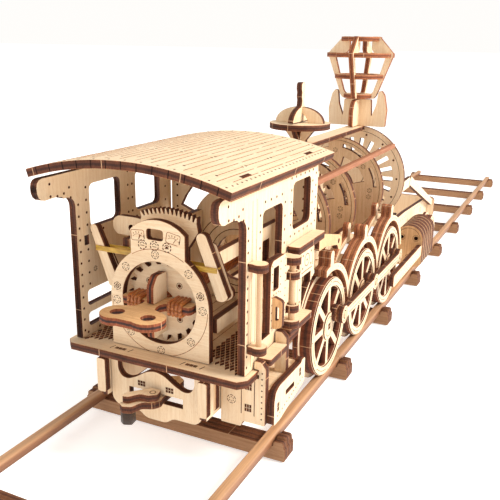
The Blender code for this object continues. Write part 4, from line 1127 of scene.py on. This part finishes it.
gear_y, gear_z = 132.0, 78.0
loops = [toothed(gear_y, gear_z, 14.4, 17.2, 20, SPUR)]
for n in range(6):
    loops.append(arc(gear_y, gear_z, 11.5, 60 * n + 10, 60 * n + 50, 6)
                 + arc(gear_y, gear_z, 6.5, 60 * n + 48, 60 * n + 12, 4))
large = plate("gear_large", "gear_shaft", loops, "along", 12.0, 15.0, ease=0.08)
small = plate("gear_small", "gear_shaft", [toothed(gear_y, gear_z, 8.8, 11.4, 12, SPUR)],
              "along", -12.0, -9.0, ease=0.08)
shaft = plate("gear_axle", "gear_shaft", [circle(gear_y, gear_z, 2.4, 24)], "along", -14.0, 18.0, edge=WARM)
gears = together("gear_shaft_piece", large, small, shaft)
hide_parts("boiler_gear")
loops = [toothed(0, MOTOR_Z, 8.8, 11.2, 16, SPUR), rectangle(-1.4, MOTOR_Z - 1.4, 1.4, MOTOR_Z + 1.4)]
for angle in (45, 135, 225, 315):
    loops.append(circle(6.0 * cos(radians(angle)), MOTOR_Z + 6.0 * sin(radians(angle)), 1.3, 14))
plate("output_plate", "motor_output", loops, "across", 203.3, 206.3, stands_for=("output_gear",), ease=0.08)


# ---- smokebox ----
# The boiler's front plate is a wider disc with twenty-two rounded slots set like a fan round its
# middle, engraved with rings and rivet dots on both faces.
loops = [arc(0, BOILER_Z, 33.5, -60, 240, 80)]
fan_slots, step_in, step_out = 22, radians(4.2), radians(3.2)
for index in range(fan_slots):
    angle = radians(360.0 / fan_slots * index)
    slot_corners = [(r * cos(angle + s), BOILER_Z + r * sin(angle + s)) for r, s in
                    ((17.0, -step_in), (26.0, -step_out), (26.0, step_out), (17.0, step_in))]
    loops.append(rounded(slot_corners, 0.7, 3))
plate("smokebox_plate", "locomotive", loops, "across", 250.0, 253.0,
      stands_for=("smokebox_ring",), ease=0.1)
marks = [ring(0, BOILER_Z, 30.5, 0.25, -58, 238, 70), ring(0, BOILER_Z, 14.4, 0.3),
         ring(0, BOILER_Z, 6.0, 0.4)]
for n in range(12):
    angle = radians(-50 + 25.4 * n)
    marks += dots([(28.6 * cos(angle), BOILER_Z + 28.6 * sin(angle))], 0.7, 10)
engrave("smokebox_marks_front", "locomotive", marks, "across", 253.0, 1)
engrave("smokebox_marks_rear", "locomotive", marks, "across", 250.0, -1)


# ---- boiler side panels ----
# Low panels of kerfed plywood stand on edge between the ribs and close the foot of the boiler's
# sides. Each is cut with a row of upright kerfs on its outer face.
for side_name, sign in (("left", -1), ("right", 1)):
    for n, (y0, y1, z0, z1) in enumerate(((77.2, 110.0, 57.0, 69.0), (114.0, 151.0, 54.0, 63.0))):
        levels = (25.4, 28.2) if sign > 0 else (-28.2, -25.4)
        plate(f"boiler_panel_{side_name}_{n}", "locomotive", [rectangle(y0, z0, y1, z1, 1.0)],
              "along", *levels)
        kerf_ys = [y0 + 3 + 2.4 * k for k in range(int((y1 - y0 - 4) / 2.4))]
        marks = [line(y, z0 + 1.6, y, z1 - 1.6, 0.3) for y in kerf_ys]
        engrave(f"panel_marks_{side_name}_{n}", "locomotive", marks, "along", sign * 28.2, sign)


# ---- boiler rails ----
# Two slim plywood strips run along the boiler from the cab to the smokebox and tie the ribs
# together. Both their faces and their edges are scorched reddish brown.
RED = face_finish("scorched_rail", (0.42, 0.175, 0.085), (0.28, 0.10, 0.045), (0.6, 0.4, 0.3), 0.6)
for side_name, levels in (("left", (-26.2, -23.4)), ("right", (23.4, 26.2))):
    plate(f"rail_{side_name}", "locomotive", [rectangle(76.7, 93.3, 249.6, 95.9, 0.3)], "along", *levels,
          stands_for=(f"longeron_{side_name}",), grain=Vector((0, 1, 0)), face=RED, edge=RED)


# ---- dome and chimney ----
# Both are plates half-lapped into crosses. The dome is a round brim with two half discs and a
# turned-looking finial; the chimney is a winged foot under a flared basket of fins and rings.
STRIP_THICK = 2.6
STRIP_TOP = BOILER_Z + RIB_RADIUS + 0.3 + STRIP_THICK
DOME_Y, CHIMNEY_Y = 146.0, 248.0
TAN_EDGE = edge_finish("tan_edge", (0.55, 0.25, 0.11), (0.34, 0.125, 0.055),
                       (0.17, 0.052, 0.026), (0.62, 0.38, 0.22))
brim = plate("dome_brim", "locomotive", [circle(0, DOME_Y, 16.0, 64)], "flat", 114.6, 117.6,
             stands_for=("steam_dome",), grain=Vector((1, 0, 0)))


def dome_side(finial):
    """One plate of the dome's cross: its foot below the brim, and its half disc above."""
    base = STRIP_TOP + 0.35
    curve = [(13.4 * cos(radians(a)), 117.65 + 8.2 * sin(radians(a))) for a in range(4, 82, 6)]
    if finial:
        curve += [(1.9, 126.6), (1.5, 129.0), (2.3, 131.0), (1.9, 133.0), (2.7, 135.0),
                  (2.6, 137.2), (1.4, 138.2)]
    lower_half = [(4.0, base), (4.0, 108.5), (9.0, 114.55)]
    return lower_half + mirrored(lower_half), curve + mirrored(curve)


low_across, high_across = dome_side(False)
low_along, high_along = dome_side(True)
low_along = [(y + DOME_Y, z) for y, z in low_along]
high_along = [(y + DOME_Y, z) for y, z in high_along]
arches = arc(0, 117.65, 4.8, 0, 180, 16)
high_across = [(13.4, 117.65)] + high_across[1:-1] + [(-13.4, 117.65), (-4.8, 117.65)] + \
    list(reversed(arches))[1:-1] + [(4.8, 117.65)]
pieces = [
    plate("dome_foot_across", "locomotive", [low_across], "across", DOME_Y - 1.5, DOME_Y + 1.5),
    plate("dome_disc_across", "locomotive", [high_across], "across", DOME_Y - 1.5, DOME_Y + 1.5),
    plate("dome_foot_along_rear", "locomotive",
          [[(y, z) for y, z in low_along if y <= DOME_Y - 1.5]
           + [(DOME_Y - 1.55, 114.55), (DOME_Y - 1.55, STRIP_TOP + 0.35)]], "along", -1.5, 1.5),
    plate("dome_disc_along", "locomotive", [high_along], "along", -1.5, 1.5),
]
together("dome_cross", *pieces)

half = [(19.0, STRIP_TOP + 0.1), (19.6, 117.0), (17.6, 126.4), (15.6, 129.2), (13.6, 128.6),
        (12.6, 120.0), (9.6, 112.4), (9.0, 123.4)]
wing = rounded(half + mirrored(half), 0.8)
foot_across = plate("chimney_wings", "locomotive", [wing], "across",
                    CHIMNEY_Y - 1.5, CHIMNEY_Y + 1.5, edge=TAN_EDGE)
blade = rounded([(14.0, STRIP_TOP + 0.5), (14.4, 116.0), (12.0, 121.6), (8.6, 123.2), (1.55, 123.2),
                 (1.55, STRIP_TOP + 0.5)], 0.8)
blade_front = plate("chimney_blade_front", "locomotive", [[(y + CHIMNEY_Y, z) for y, z in blade]],
                    "along", -1.5, 1.5, edge=TAN_EDGE)
blade_rear = plate("chimney_blade_rear", "locomotive",
                   [[(CHIMNEY_Y - y, z) for y, z in reversed(blade)]], "along", -1.5, 1.5, edge=TAN_EDGE)
strip = plate("boiler_strip", "locomotive", [rectangle(-5.0, 110.5, 5.0, 249.7, 1.0)],
              "flat", STRIP_TOP - STRIP_THICK, STRIP_TOP)
foot_piece = together("chimney_foot", foot_across, blade_front, blade_rear, strip)
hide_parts("chimney_base")


def fin_loops(offset, sign):
    """One fin of the basket: a rail that follows the flare, with bars in to the chimney's middle."""
    outer_line = [(10.4, 124.0), (12.0, 126.0), (21.4, 150.8), (21.4, 152.2), (11.9, 162.4), (7.4, 162.4)]
    inner_line = [(7.4, 154.6), (9.0, 152.6), (17.0, 151.2), (13.4, 139.0), (9.8, 128.2),
                  (8.0, 126.6), (8.0, 124.0)]
    loop = rounded(outer_line + inner_line, 0.7)
    loop = [(offset + sign * x, z) for x, z in loop]
    return [loop if sign > 0 else list(reversed(loop))]


fins = []
for sign in (-1, 1):
    fins.append(plate(f"funnel_fin_{sign + 1}", "locomotive", fin_loops(0, sign), "across",
                      CHIMNEY_Y - 1.5, CHIMNEY_Y + 1.5, edge=TAN_EDGE))
    fins.append(plate(f"funnel_side_{sign + 1}", "locomotive", fin_loops(CHIMNEY_Y, sign), "along",
                      -1.5, 1.5, edge=TAN_EDGE))
rings = ((124.0, 9.6, 4.0), (136.4, 16.0, 12.6), (149.6, 21.6, 17.4), (159.4, 12.9, 9.2))
for n, (z, *radii) in enumerate(rings):
    if n == 1:
        loops = [circle(0, CHIMNEY_Y, r, 48) for r in radii]
    else:
        loops = [arc(0, CHIMNEY_Y, r, 22.5, 382.5, 8)[:-1] for r in radii]
    fins.append(plate(f"funnel_ring_{n}", "locomotive", loops, "flat", z, z + 2.8, edge=TAN_EDGE))
basket = together("chimney_basket", *fins)
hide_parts("chimney_funnel")


# ---- side steps and grab rail ----
# Outside the right cab wall stands a ladder of plates: two brackets, a shelf, a tread, a board and a
# long outer plate with a slot. A slim round rod is held at the rear corner by two rounded lugs.
rear_bracket = rounded([(24.5, 17.0), (33.0, 17.0), (34.0, 19.4), (43.0, 19.4), (43.0, 43.0), (41.0, 45.4),
                        (38.3, 45.4), (38.3, 42.2), (40.3, 42.2), (40.3, 38.5), (24.5, 38.5)], 0.5)
front_bracket = rounded([(38.3, 30.6), (43.0, 30.6), (43.0, 48.0), (41.0, 50.1), (38.3, 50.1)], 0.5)
outer_plate = rounded([(14.0, 19.4), (20.0, 19.4), (44.5, 24.6), (44.5, 35.2), (41.0, 35.2), (40.4, 34.2),
                       (18.6, 34.2), (15.2, 32.8), (14.0, 29.4)], 0.9, 4)
outer_slot = rectangle(24.6, 27.2, 33.4, 29.4, 0.5)
parts = [
    plate("step_bracket_rear", "locomotive", [rear_bracket], "across", 12.0, 15.0),
    plate("step_bracket_front", "locomotive", [front_bracket], "across", 31.0, 34.0),
    plate("step_shelf", "locomotive", [rectangle(30.0, 15.05, 43.0, 44.0, 1.0)], "flat", 30.05, 33.0),
    plate("step_tread", "locomotive", [rectangle(38.3, 15.05, 43.6, 30.95, 0.8)], "flat", 43.0, 45.6),
    plate("step_board", "locomotive", [rectangle(38.3, 34.05, 43.4, 57.8, 0.8)], "flat", 47.4, 50.2),
    plate("step_side", "locomotive", [outer_plate, outer_slot], "along", 43.15, 46.0),
]
ladder = together("side_step_piece", *parts)
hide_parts("side_step_right")
marks = tab_marks(34.5, 24.0, 37.5, 27.0) + tab_marks(34.5, 33.0, 37.5, 36.0) + nut(29.0, 27.6, 1.7)
marks += [line(33.2, 22.6, 33.2, 37.2, 0.3), line(38.6, 22.6, 38.6, 37.2, 0.3)]
marks += dots(row(41.6, 22, 41.6, 41, 9), 0.32, 8)
engrave("step_marks", "locomotive", marks, "across", 12.0, -1)
marks = dots(row(17, 22.2, 42, 27.0, 12), 0.35, 8)
marks += tab_marks(16.6, 24.0, 18.6, 27.6) + tab_marks(38.4, 29.0, 40.4, 32.4)
engrave("step_side_marks", "locomotive", marks, "along", 46.0, 1)
lugs = [plate(f"rail_lug_{n}", "locomotive", [arc(41.4, 8.6, 3.0, -125, 125, 16) + [(38.0, 11.0), (38.0, 6.2)]],
              "flat", z, z + 3.0) for n, z in enumerate((50.5, 81.6))]
DOWEL = face_finish("birch_dowel", (0.74, 0.51, 0.32), (0.60, 0.38, 0.21), (0.45, 0.3, 0.2), 0.45)
post = plate("rail_post", "locomotive", [circle(41.4, 8.6, 1.05, 24)], "flat", 50.55, 84.55,
             face=DOWEL, edge=DOWEL)
rail = together("grab_rail_piece", *lugs, post)
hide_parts("grab_rail_right")


# ---- door, window ledge and name board ----
# The right wall carries a small door on a round post, a shelf under the window and a name board cut
# as a plain framed panel. An arm with a round eye reaches forward from each wall.
post = plate("door_post_pin", "locomotive", [circle(42.2, 37.2, 1.35, 24)], "flat", 50.7, 79.4,
             face=DOWEL, edge=DOWEL)
wavy = rounded([(38.15, 34.6), (40.6, 33.8), (43.6, 34.2), (45.3, 36.0), (45.3, 38.6), (43.4, 39.9), (41.4, 39.4),
                (40.0, 40.0), (38.15, 40.2)], 0.9, 4)
lugs = [plate(f"door_lug_{n}", "locomotive", [wavy], "flat", z, z + 3.0) for n, z in enumerate((50.6, 76.6))]
hanger = together("door_post_piece", post, *lugs)
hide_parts("door_post")
leaf_outline = rounded([(18.7, 54.1), (31.5, 54.1), (33.3, 56.0), (33.3, 80.0), (31.5, 81.9),
                        (20.5, 81.9), (18.7, 80.1)], 0.7)
pane = rounded([(21.0, 70.0), (26.0, 70.0), (26.0, 79.0), (21.0, 79.0)], 0.6)
leaf = plate("door_leaf", "door", [leaf_outline, pane], "along", 38.25, 41.2)
pull = plate("door_pull", "door", [rounded([(41.15, 55.2), (45.2, 56.6), (45.2, 67.0), (41.15, 68.4)], 1.2),
                                   rounded([(42.5, 59.0), (43.9, 59.4), (43.9, 64.4), (42.5, 64.8)], 0.5)],
             "across", 20.6, 22.6, face=WARM)
knuckle = arc(42.2, 37.2, 2.85, -150, 150, 20) + [(41.15, 33.6), (38.3, 33.2), (38.3, 32.0), (41.15, 32.0)]
knuckles = [plate(f"door_knuckle_{n}", "door", [knuckle, circle(42.2, 37.2, 1.75, 20)], "flat", z, z + 3.0)
            for n, z in enumerate((57.0, 70.6))]
door = together("cab_door_piece", leaf, pull, *knuckles)
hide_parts("cab_door")
marks = dots(row(20.0, 56, 20.0, 80, 9) + row(27.6, 56, 27.6, 80, 9) + row(32.2, 56, 32.2, 80, 9), 0.33, 8)
marks += dots(row(21.6, 68.6, 26, 68.6, 3), 0.33, 8)
engrave("door_marks", "door", marks, "along", 41.2, 1)
engrave("door_marks_inside", "door", marks, "along", 38.25, -1)
ledge = plate("ledge_board", "locomotive", [rectangle(38.15, 40.6, 43.4, 69.9, 1.2)], "flat", 79.0, 82.0)
board = plate("name_board", "locomotive",
              [rounded([(48.0, 66.6), (64.0, 66.6), (64.0, 77.4), (62.2, 78.95), (49.8, 78.95), (48.0, 77.4)], 1.0)],
              "along", 38.1, 40.8)
ledge = together("window_ledge_piece", ledge, board)
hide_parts("window_ledge")
marks = [line(50.0, 68.2, 62.0, 68.2, 0.3), line(50.0, 77.2, 62.0, 77.2, 0.3), line(49.4, 68.8, 49.4, 76.6, 0.3),
         line(62.6, 68.8, 62.6, 76.6, 0.3), ring(56.0, 72.7, 2.6, 0.3)]
marks += dots([(51.4, 70.0), (60.6, 70.0), (51.4, 75.4), (60.6, 75.4), (56.0, 72.7)], 0.5, 10)
engrave("name_board_marks", "locomotive", marks, "along", 40.8, 1)
for side_name, levels in (("left", (-40.9, -38.12)), ("right", (38.12, 40.9))):
    arm = rounded([(70.0, 78.4), (77.0, 78.6), (97.4, 73.4), (100.6, 71.6), (100.8, 67.8), (98.8, 65.8),
                   (96.6, 66.4), (94.4, 69.2), (78.0, 72.4), (70.0, 72.4)], 0.9)
    plate(f"wall_arm_{side_name}", "locomotive", [arm, circle(96.4, 70.6, 1.2, 20)], "along", *levels,
          face=WARM)


# ---- driving wheels and axles ----
# Six spoked wheels, each a cut disc with a thin flange disc and a crank boss glued on, are pressed on
# three round wooden axles. The front truck has two small wheels on its own axle.
TREAD = edge_finish("tread_edge", (0.30, 0.095, 0.043), (0.16, 0.047, 0.023),
                    (0.07, 0.027, 0.018), (0.5, 0.28, 0.15))
WHEEL_YS = (84.0, 136.0, 188.0)
AXLE_Z = 33.0
PIN_FORWARD, ROD_Z = 6.5, 37.5


def on_side(sign, near, far):
    """The two levels of a plate beside the model, from its inner and outer distance."""
    return (near, far) if sign > 0 else (-far, -near)


def spoke_gaps(cy, cz, hub, rim, count, half):
    """The openings between the spokes, each with rounded corners."""
    gaps = []
    for index in range(count):
        start, end = 360.0 / count * index, 360.0 / count * (index + 1)
        lead_in, lead_out = degrees(half / hub), degrees(half / rim)
        outer = arc(cy, cz, rim, start + lead_out, end - lead_out, 10)
        inner = arc(cy, cz, hub, end - lead_in, start + lead_in, 4)
        gaps.append(rounded(outer + inner, 0.6, 2))
    return gaps


def wheel(name, body, sign, cy, cz, radius, flange, hub, rim, spokes, half, inner_x, flange_x, outer_x):
    """The spoked disc of a wheel and the thinner flange disc glued behind it."""
    gaps = spoke_gaps(cy, cz, hub, rim, spokes, half)
    gaps_wide = spoke_gaps(cy, cz, hub + 0.5, rim - 0.6, spokes, half + 0.35)
    return [
        plate(f"{name}_disc", body, [circle(cy, cz, radius, 96)] + gaps, "along",
              *on_side(sign, flange_x + 0.02, outer_x), edge=TREAD, ease=0.2),
        plate(f"{name}_flange", body, [circle(cy, cz, flange, 96)] + gaps_wide, "along",
              *on_side(sign, inner_x, flange_x - 0.02), edge=TREAD, ease=0.15),
    ]


for number, cy in enumerate(WHEEL_YS, 1):
    body = f"wheelset_{number}"
    pin_place = (cy + PIN_FORWARD, ROD_Z)
    for side_name, sign in (("left", -1), ("right", 1)):
        name = f"driving_{side_name}_{number}"
        parts = wheel(name, body, sign, cy, AXLE_Z, 23.0, 25.0, 7.2, 18.6, 8, 1.5, 34.4, 37.0, 41.9)
        cap = plate(f"{name}_rim", body, [circle(cy, AXLE_Z, 22.6, 96), circle(cy, AXLE_Z, 19.1, 80)],
                    "along", *on_side(sign, 41.88, 42.5), edge=TREAD, ease=0.12)
        hub = plate(f"{name}_hub", body, [circle(cy, AXLE_Z, 6.4, 48)],
                    "along", *on_side(sign, 41.88, 42.5), ease=0.12)
        boss = plate(f"{name}_boss", body, [circle(*pin_place, 4.1, 40)],
                     "along", *on_side(sign, 41.9, 44.5), ease=0.2)
        pin = plate(f"{name}_pin", body, [circle(*pin_place, 1.55, 24)],
                    "along", *on_side(sign, 44.4, 48.2), face=DOWEL, edge=CREAM, ease=0.2)
        whole = together(f"{name}_piece", *parts, cap, hub, boss, pin)
        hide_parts(f"driving_wheel_{side_name}_{number}")
        marks = [ring(cy, AXLE_Z, 20.9, 0.25, 45 * n + 3, 45 * n + 40, 8) for n in range(8)]
        marks += tab_marks(cy - 1.5, 31.5, cy + 1.5, 34.5) + [ring(cy, AXLE_Z, 4.6, 0.25)]
        for n in range(8):
            a = radians(45 * n)
            marks.append(circle(cy + 21.7 * cos(a), AXLE_Z + 21.7 * sin(a), 0.35, 8))
        engrave(f"{name}_marks", body, marks, "along", sign * 42.5, sign)
    plate(f"axle_rod_{number}", body, [circle(cy, AXLE_Z, 2.55, 32)], "along", -41.6, 41.6,
          stands_for=(f"driving_axle_{number}",), face=DOWEL, edge=CREAM, ease=0.25)
for side_name, sign in (("left", -1), ("right", 1)):
    parts = wheel(f"pilot_{side_name}", "pilot_wheelset", sign, 322.0, 22.0, 12.0, 13.8, 5.0, 9.0, 5, 1.1,
                  34.4, 36.4, 41.0)
    whole = together(f"pilot_{side_name}_piece", *parts)
    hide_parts(f"pilot_wheel_{side_name}")
    engrave(f"pilot_{side_name}_marks", "pilot_wheelset",
            [ring(322.0, 22.0, 10.5, 0.25)] + tab_marks(320.8, 20.8, 323.2, 23.2), "along", sign * 41.0, sign)
plate("pilot_rod", "pilot_wheelset", [circle(322.0, 22.0, 2.55, 32)], "along", -40.0, 40.0,
      stands_for=("pilot_axle",), face=DOWEL, edge=CREAM, ease=0.25)


# ---- coupling rods ----
# One flat bar on each side joins the three crank pins, with a round eye at each pin. It stays level
# while the wheels turn.
eyes = [cy + PIN_FORWARD for cy in WHEEL_YS]
EYE = 4.2
reach = degrees(asin(2.3 / EYE))
top = arc(eyes[2], ROD_Z, EYE, 0, 180 - reach, 14) + arc(eyes[1], ROD_Z, EYE, reach, 180 - reach, 12)
top += arc(eyes[0], ROD_Z, EYE, reach, 180, 14)
bottom = arc(eyes[0], ROD_Z, EYE, 180, 360 - reach, 14)[1:]
bottom += arc(eyes[1], ROD_Z, EYE, 180 + reach, 360 - reach, 12)
bottom += arc(eyes[2], ROD_Z, EYE, 180 + reach, 360, 14)[:-1]
for side_name, sign in (("left", -1), ("right", 1)):
    plate(f"rod_{side_name}_bar", f"rod_{side_name}",
          [top + bottom] + [circle(y, ROD_Z, 2.1, 28) for y in eyes], "along", *on_side(sign, 44.85, 47.75),
          stands_for=(f"coupling_rod_{side_name}",), grain=Vector((0, 1, 0)))
    marks = []
    for a, b in ((97, 136), (149, 188)):
        marks += [line(a, ROD_Z + 1.0, b, ROD_Z + 1.0, 0.22), line(a, ROD_Z - 1.0, b, ROD_Z - 1.0, 0.22)]
    for y in eyes:
        marks.append(ring(y, ROD_Z, 3.2, 0.2))
    engrave(f"rod_{side_name}_marks", f"rod_{side_name}", marks, "along", sign * 47.75, sign)


# ---- splashers ----
# Curved guards over the driving wheels are cut in one piece per side, with a finial on each crown.
# Two sheets are glued together outside and one stands behind them, held by short cross pieces.
def guard_loop():
    """Three arches over the wheels, with a finial on each crown."""
    inner, outer = 26.4, 29.6
    meet = degrees(acos(26.0 / outer))
    foot_out, foot_in = degrees(asin(5.6 / outer)), degrees(asin(5.6 / inner))
    crown, valley = [], []
    for n, cy in enumerate(WHEEL_YS):
        first = degrees(acos((77.0 - cy) / outer)) if n == 0 else 180 - meet
        last = foot_out if n == 2 else meet + 0.6
        crown += arc(cy, AXLE_Z, outer, first, 95, 12)
        crown += [(cy - 2.3, 63.6), (cy - 2.1, 65.4), (cy - 2.5, 67.0), (cy - 1.9, 68.6), (cy, 69.5),
                  (cy + 1.9, 68.6), (cy + 2.5, 67.0), (cy + 2.1, 65.4), (cy + 2.3, 63.6)]
        crown += arc(cy, AXLE_Z, outer, 85, last, 12)
    for n, cy in reversed(list(enumerate(WHEEL_YS))):
        last = degrees(acos((77.0 - cy) / inner)) if n == 0 else 180 - foot_in
        valley += arc(cy, AXLE_Z, inner, foot_in, last, 26)
    return list(reversed(crown + valley))


def sided(points, sign):
    """The same outline on the right side, or mirrored for the left."""
    points = [(sign * x, y) for x, y in points]
    return points if sign > 0 else list(reversed(points))


SPLASH_EDGE = edge_finish("splash_edge", (0.50, 0.235, 0.105), (0.36, 0.145, 0.066),
                          (0.22, 0.082, 0.040), (0.62, 0.40, 0.24))
for side_name, sign in (("left", -1), ("right", 1)):
    sheets = [plate(f"splasher_{side_name}_{n}", "locomotive", [guard_loop()], "along",
                    *on_side(sign, near, near + 2.94), edge=SPLASH_EDGE, ease=0.12)
              for n, near in enumerate((30.55, 36.55, 39.55))]
    feet = [plate(f"splasher_hanger_{side_name}_{n}", "locomotive",
                  [sided(rectangle(24.5, y - 4.0, 42.0, y + 4.0, 0.4), sign)],
                  "flat", 41.4, 44.2) for n, y in enumerate((110.0, 162.0))]
    guard = together(f"splasher_{side_name}_piece", *sheets, *feet)
    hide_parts(f"splasher_{side_name}")
    marks = []
    for cy in WHEEL_YS:
        last = 74 if cy == WHEEL_YS[0] else 136
        marks += dots([(cy + 28.0 * cos(radians(a)), AXLE_Z + 28.0 * sin(radians(a)))
                       for a in range(44, last, 7)], 0.33, 8)
    engrave(f"splasher_{side_name}_marks", "locomotive", marks, "along", sign * 42.49, sign)


# ---- cylinders and slide bars ----
# A block of arched plates stands outside each frame plate, its rear face cut with two round holes,
# and a flat slide bar runs back from it past the rear wheels.
for side_name, sign in (("left", -1), ("right", 1)):
    centre = 43.0
    face_loop = arc(centre, 37.0, 9.0, 0, 180, 28) + [(34.0, 21.0), (36.0, 19.05), (50.0, 19.05), (52.0, 21.0)]
    holes = [circle(centre + dx, 38.0, 1.3, 20) for dx in (-4.6, 4.6)]
    inner_loop = arc(centre, 37.0, 8.5, 0, 180, 28) + [(34.5, 21.2), (36.2, 19.5), (49.8, 19.5), (51.5, 21.2)]
    parts = []
    for n in range(12):
        low = 236.0 + 3.0 * n
        outline = face_loop if n % 2 == 0 or n == 11 else inner_loop
        loops = [sided(outline, sign)] + [sided(h, sign) for h in holes]
        parts.append(plate(f"cylinder_{side_name}_{n}", "locomotive", loops, "across",
                           low + 0.02, low + 2.98, face=WARM if n == 0 else CREAM, ease=0.15))
    bar_loop = rounded([(166.0, 28.0), (167.4, 27.0), (236.0, 27.0), (236.0, 34.0), (167.4, 34.0),
                        (166.0, 33.0)], 0.8)
    bar = plate(f"slide_bar_{side_name}", "locomotive", [bar_loop],
                "along", *on_side(sign, 48.6, 51.6), grain=Vector((0, 1, 0)))
    foot = plate(f"cylinder_foot_{side_name}", "locomotive",
                 [sided([(24.5, 248.2), (34.5, 248.2), (34.5, 261.8), (24.5, 261.8)], sign)], "flat", 27.1, 32.9)
    block = together(f"cylinder_{side_name}_piece", *parts, bar, foot)
    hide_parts(f"cylinder_{side_name}")
    marks = [sided(ring(centre, 37.0, 7.4, 0.25, 5, 175, 20), sign)]
    for dx in (-4.6, 4.6):
        marks.append(sided(ring(centre + dx, 38.0, 2.0, 0.2), sign))
    for dx in (-5.5, 0.0, 5.5):
        marks += [sided(m, sign) for m in nut(centre + dx, 25.0, 1.4)]
    engrave(f"cylinder_marks_{side_name}", "locomotive", marks, "across", 236.02, -1)
    marks = dots(row(170, 28.4, 232, 28.4, 16) + row(170, 32.6, 232, 32.6, 16), 0.33, 8)
    engrave(f"slide_marks_{side_name}", "locomotive", marks, "along", sign * 51.6, sign)


# ---- front beam, braces and pilot ----
# Two long plywood braces slope from the smokebox to the front beam. Under the beam is the pilot, a
# pointed base with upright slats that clear the track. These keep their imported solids.
for side_name, sign in (("left", -1), ("right", 1)):
    keep_solid(f"front_brace_{side_name}", "X")
keep_solid("front_beam", "Y")
marks = tab_marks(-20, 24, -14, 27) + tab_marks(14, 24, 20, 27)
marks += [ring(0, 26.5, 4.0, 0.4), ring(0, 26.5, 2.4, 0.3)]
for x in (-27, -9, 9, 27):
    marks += nut(x, 26.5, 1.6)
marks += dots(row(-28, 33.6, 28, 33.6, 19), 0.33, 8)
engrave("front_beam_marks", "locomotive", marks, "across", 386.3, 1)


# ---- coupler and latch ----
# The drawbar is a flat hook on a peg under the cab floor, with a second plate glued below its tip. A
# small jaw is pinned to its side and swings across the hook.
SOOTED = face_finish("sooted_tip", (0.075, 0.045, 0.03), (0.022, 0.013, 0.01), (0.5, 0.45, 0.4), 0.3)
drawbar_loop = rounded([(-4, 19), (-4, 2), (-6.5, -1), (-8.4, -8), (-6, -9.8), (-2.6, -8.6), (-1, -4),
                        (3, -2.2), (4.6, .6), (4, 3), (4, 19), (0, 21.5)], 0.7)
bar = plate("drawbar_plate", "drawbar", [drawbar_loop, circle(0.0, 16.0, 1.8, 24)], "flat", 23.4, 26.2,
            grain=Vector((0, 1, 0)))
tip_loop = rounded([(-8.2, -8), (-5.8, -9.6), (-2.8, -8.4), (-3.2, -4.6), (-7.2, -5)], 0.6)
tip = plate("drawbar_tip", "drawbar", [tip_loop], "flat", 18.4, 23.42, face=SOOTED, edge=SOOTED)
hook = together("coupler_drawbar_piece", bar, tip)
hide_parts("coupler_drawbar")
jaw_loop = rounded([(3.4, 2.6), (-1.2, 2.6), (-3.6, -.6), (-7.8, -5.4), (-7, -8), (-4.6, -7.4), (-2, -3.6),
                    (1.6, -3.2), (4.2, -1.2)], 0.7)
plate("latch_plate", "latch", [jaw_loop], "flat", 26.6, 29.4, stands_for=("coupler_latch",),
      grain=Vector((0, 1, 0)))
engrave("latch_marks", "latch", [ring(1.6, -0.2, 1.1, 0.3)], "flat", 29.4, 1)
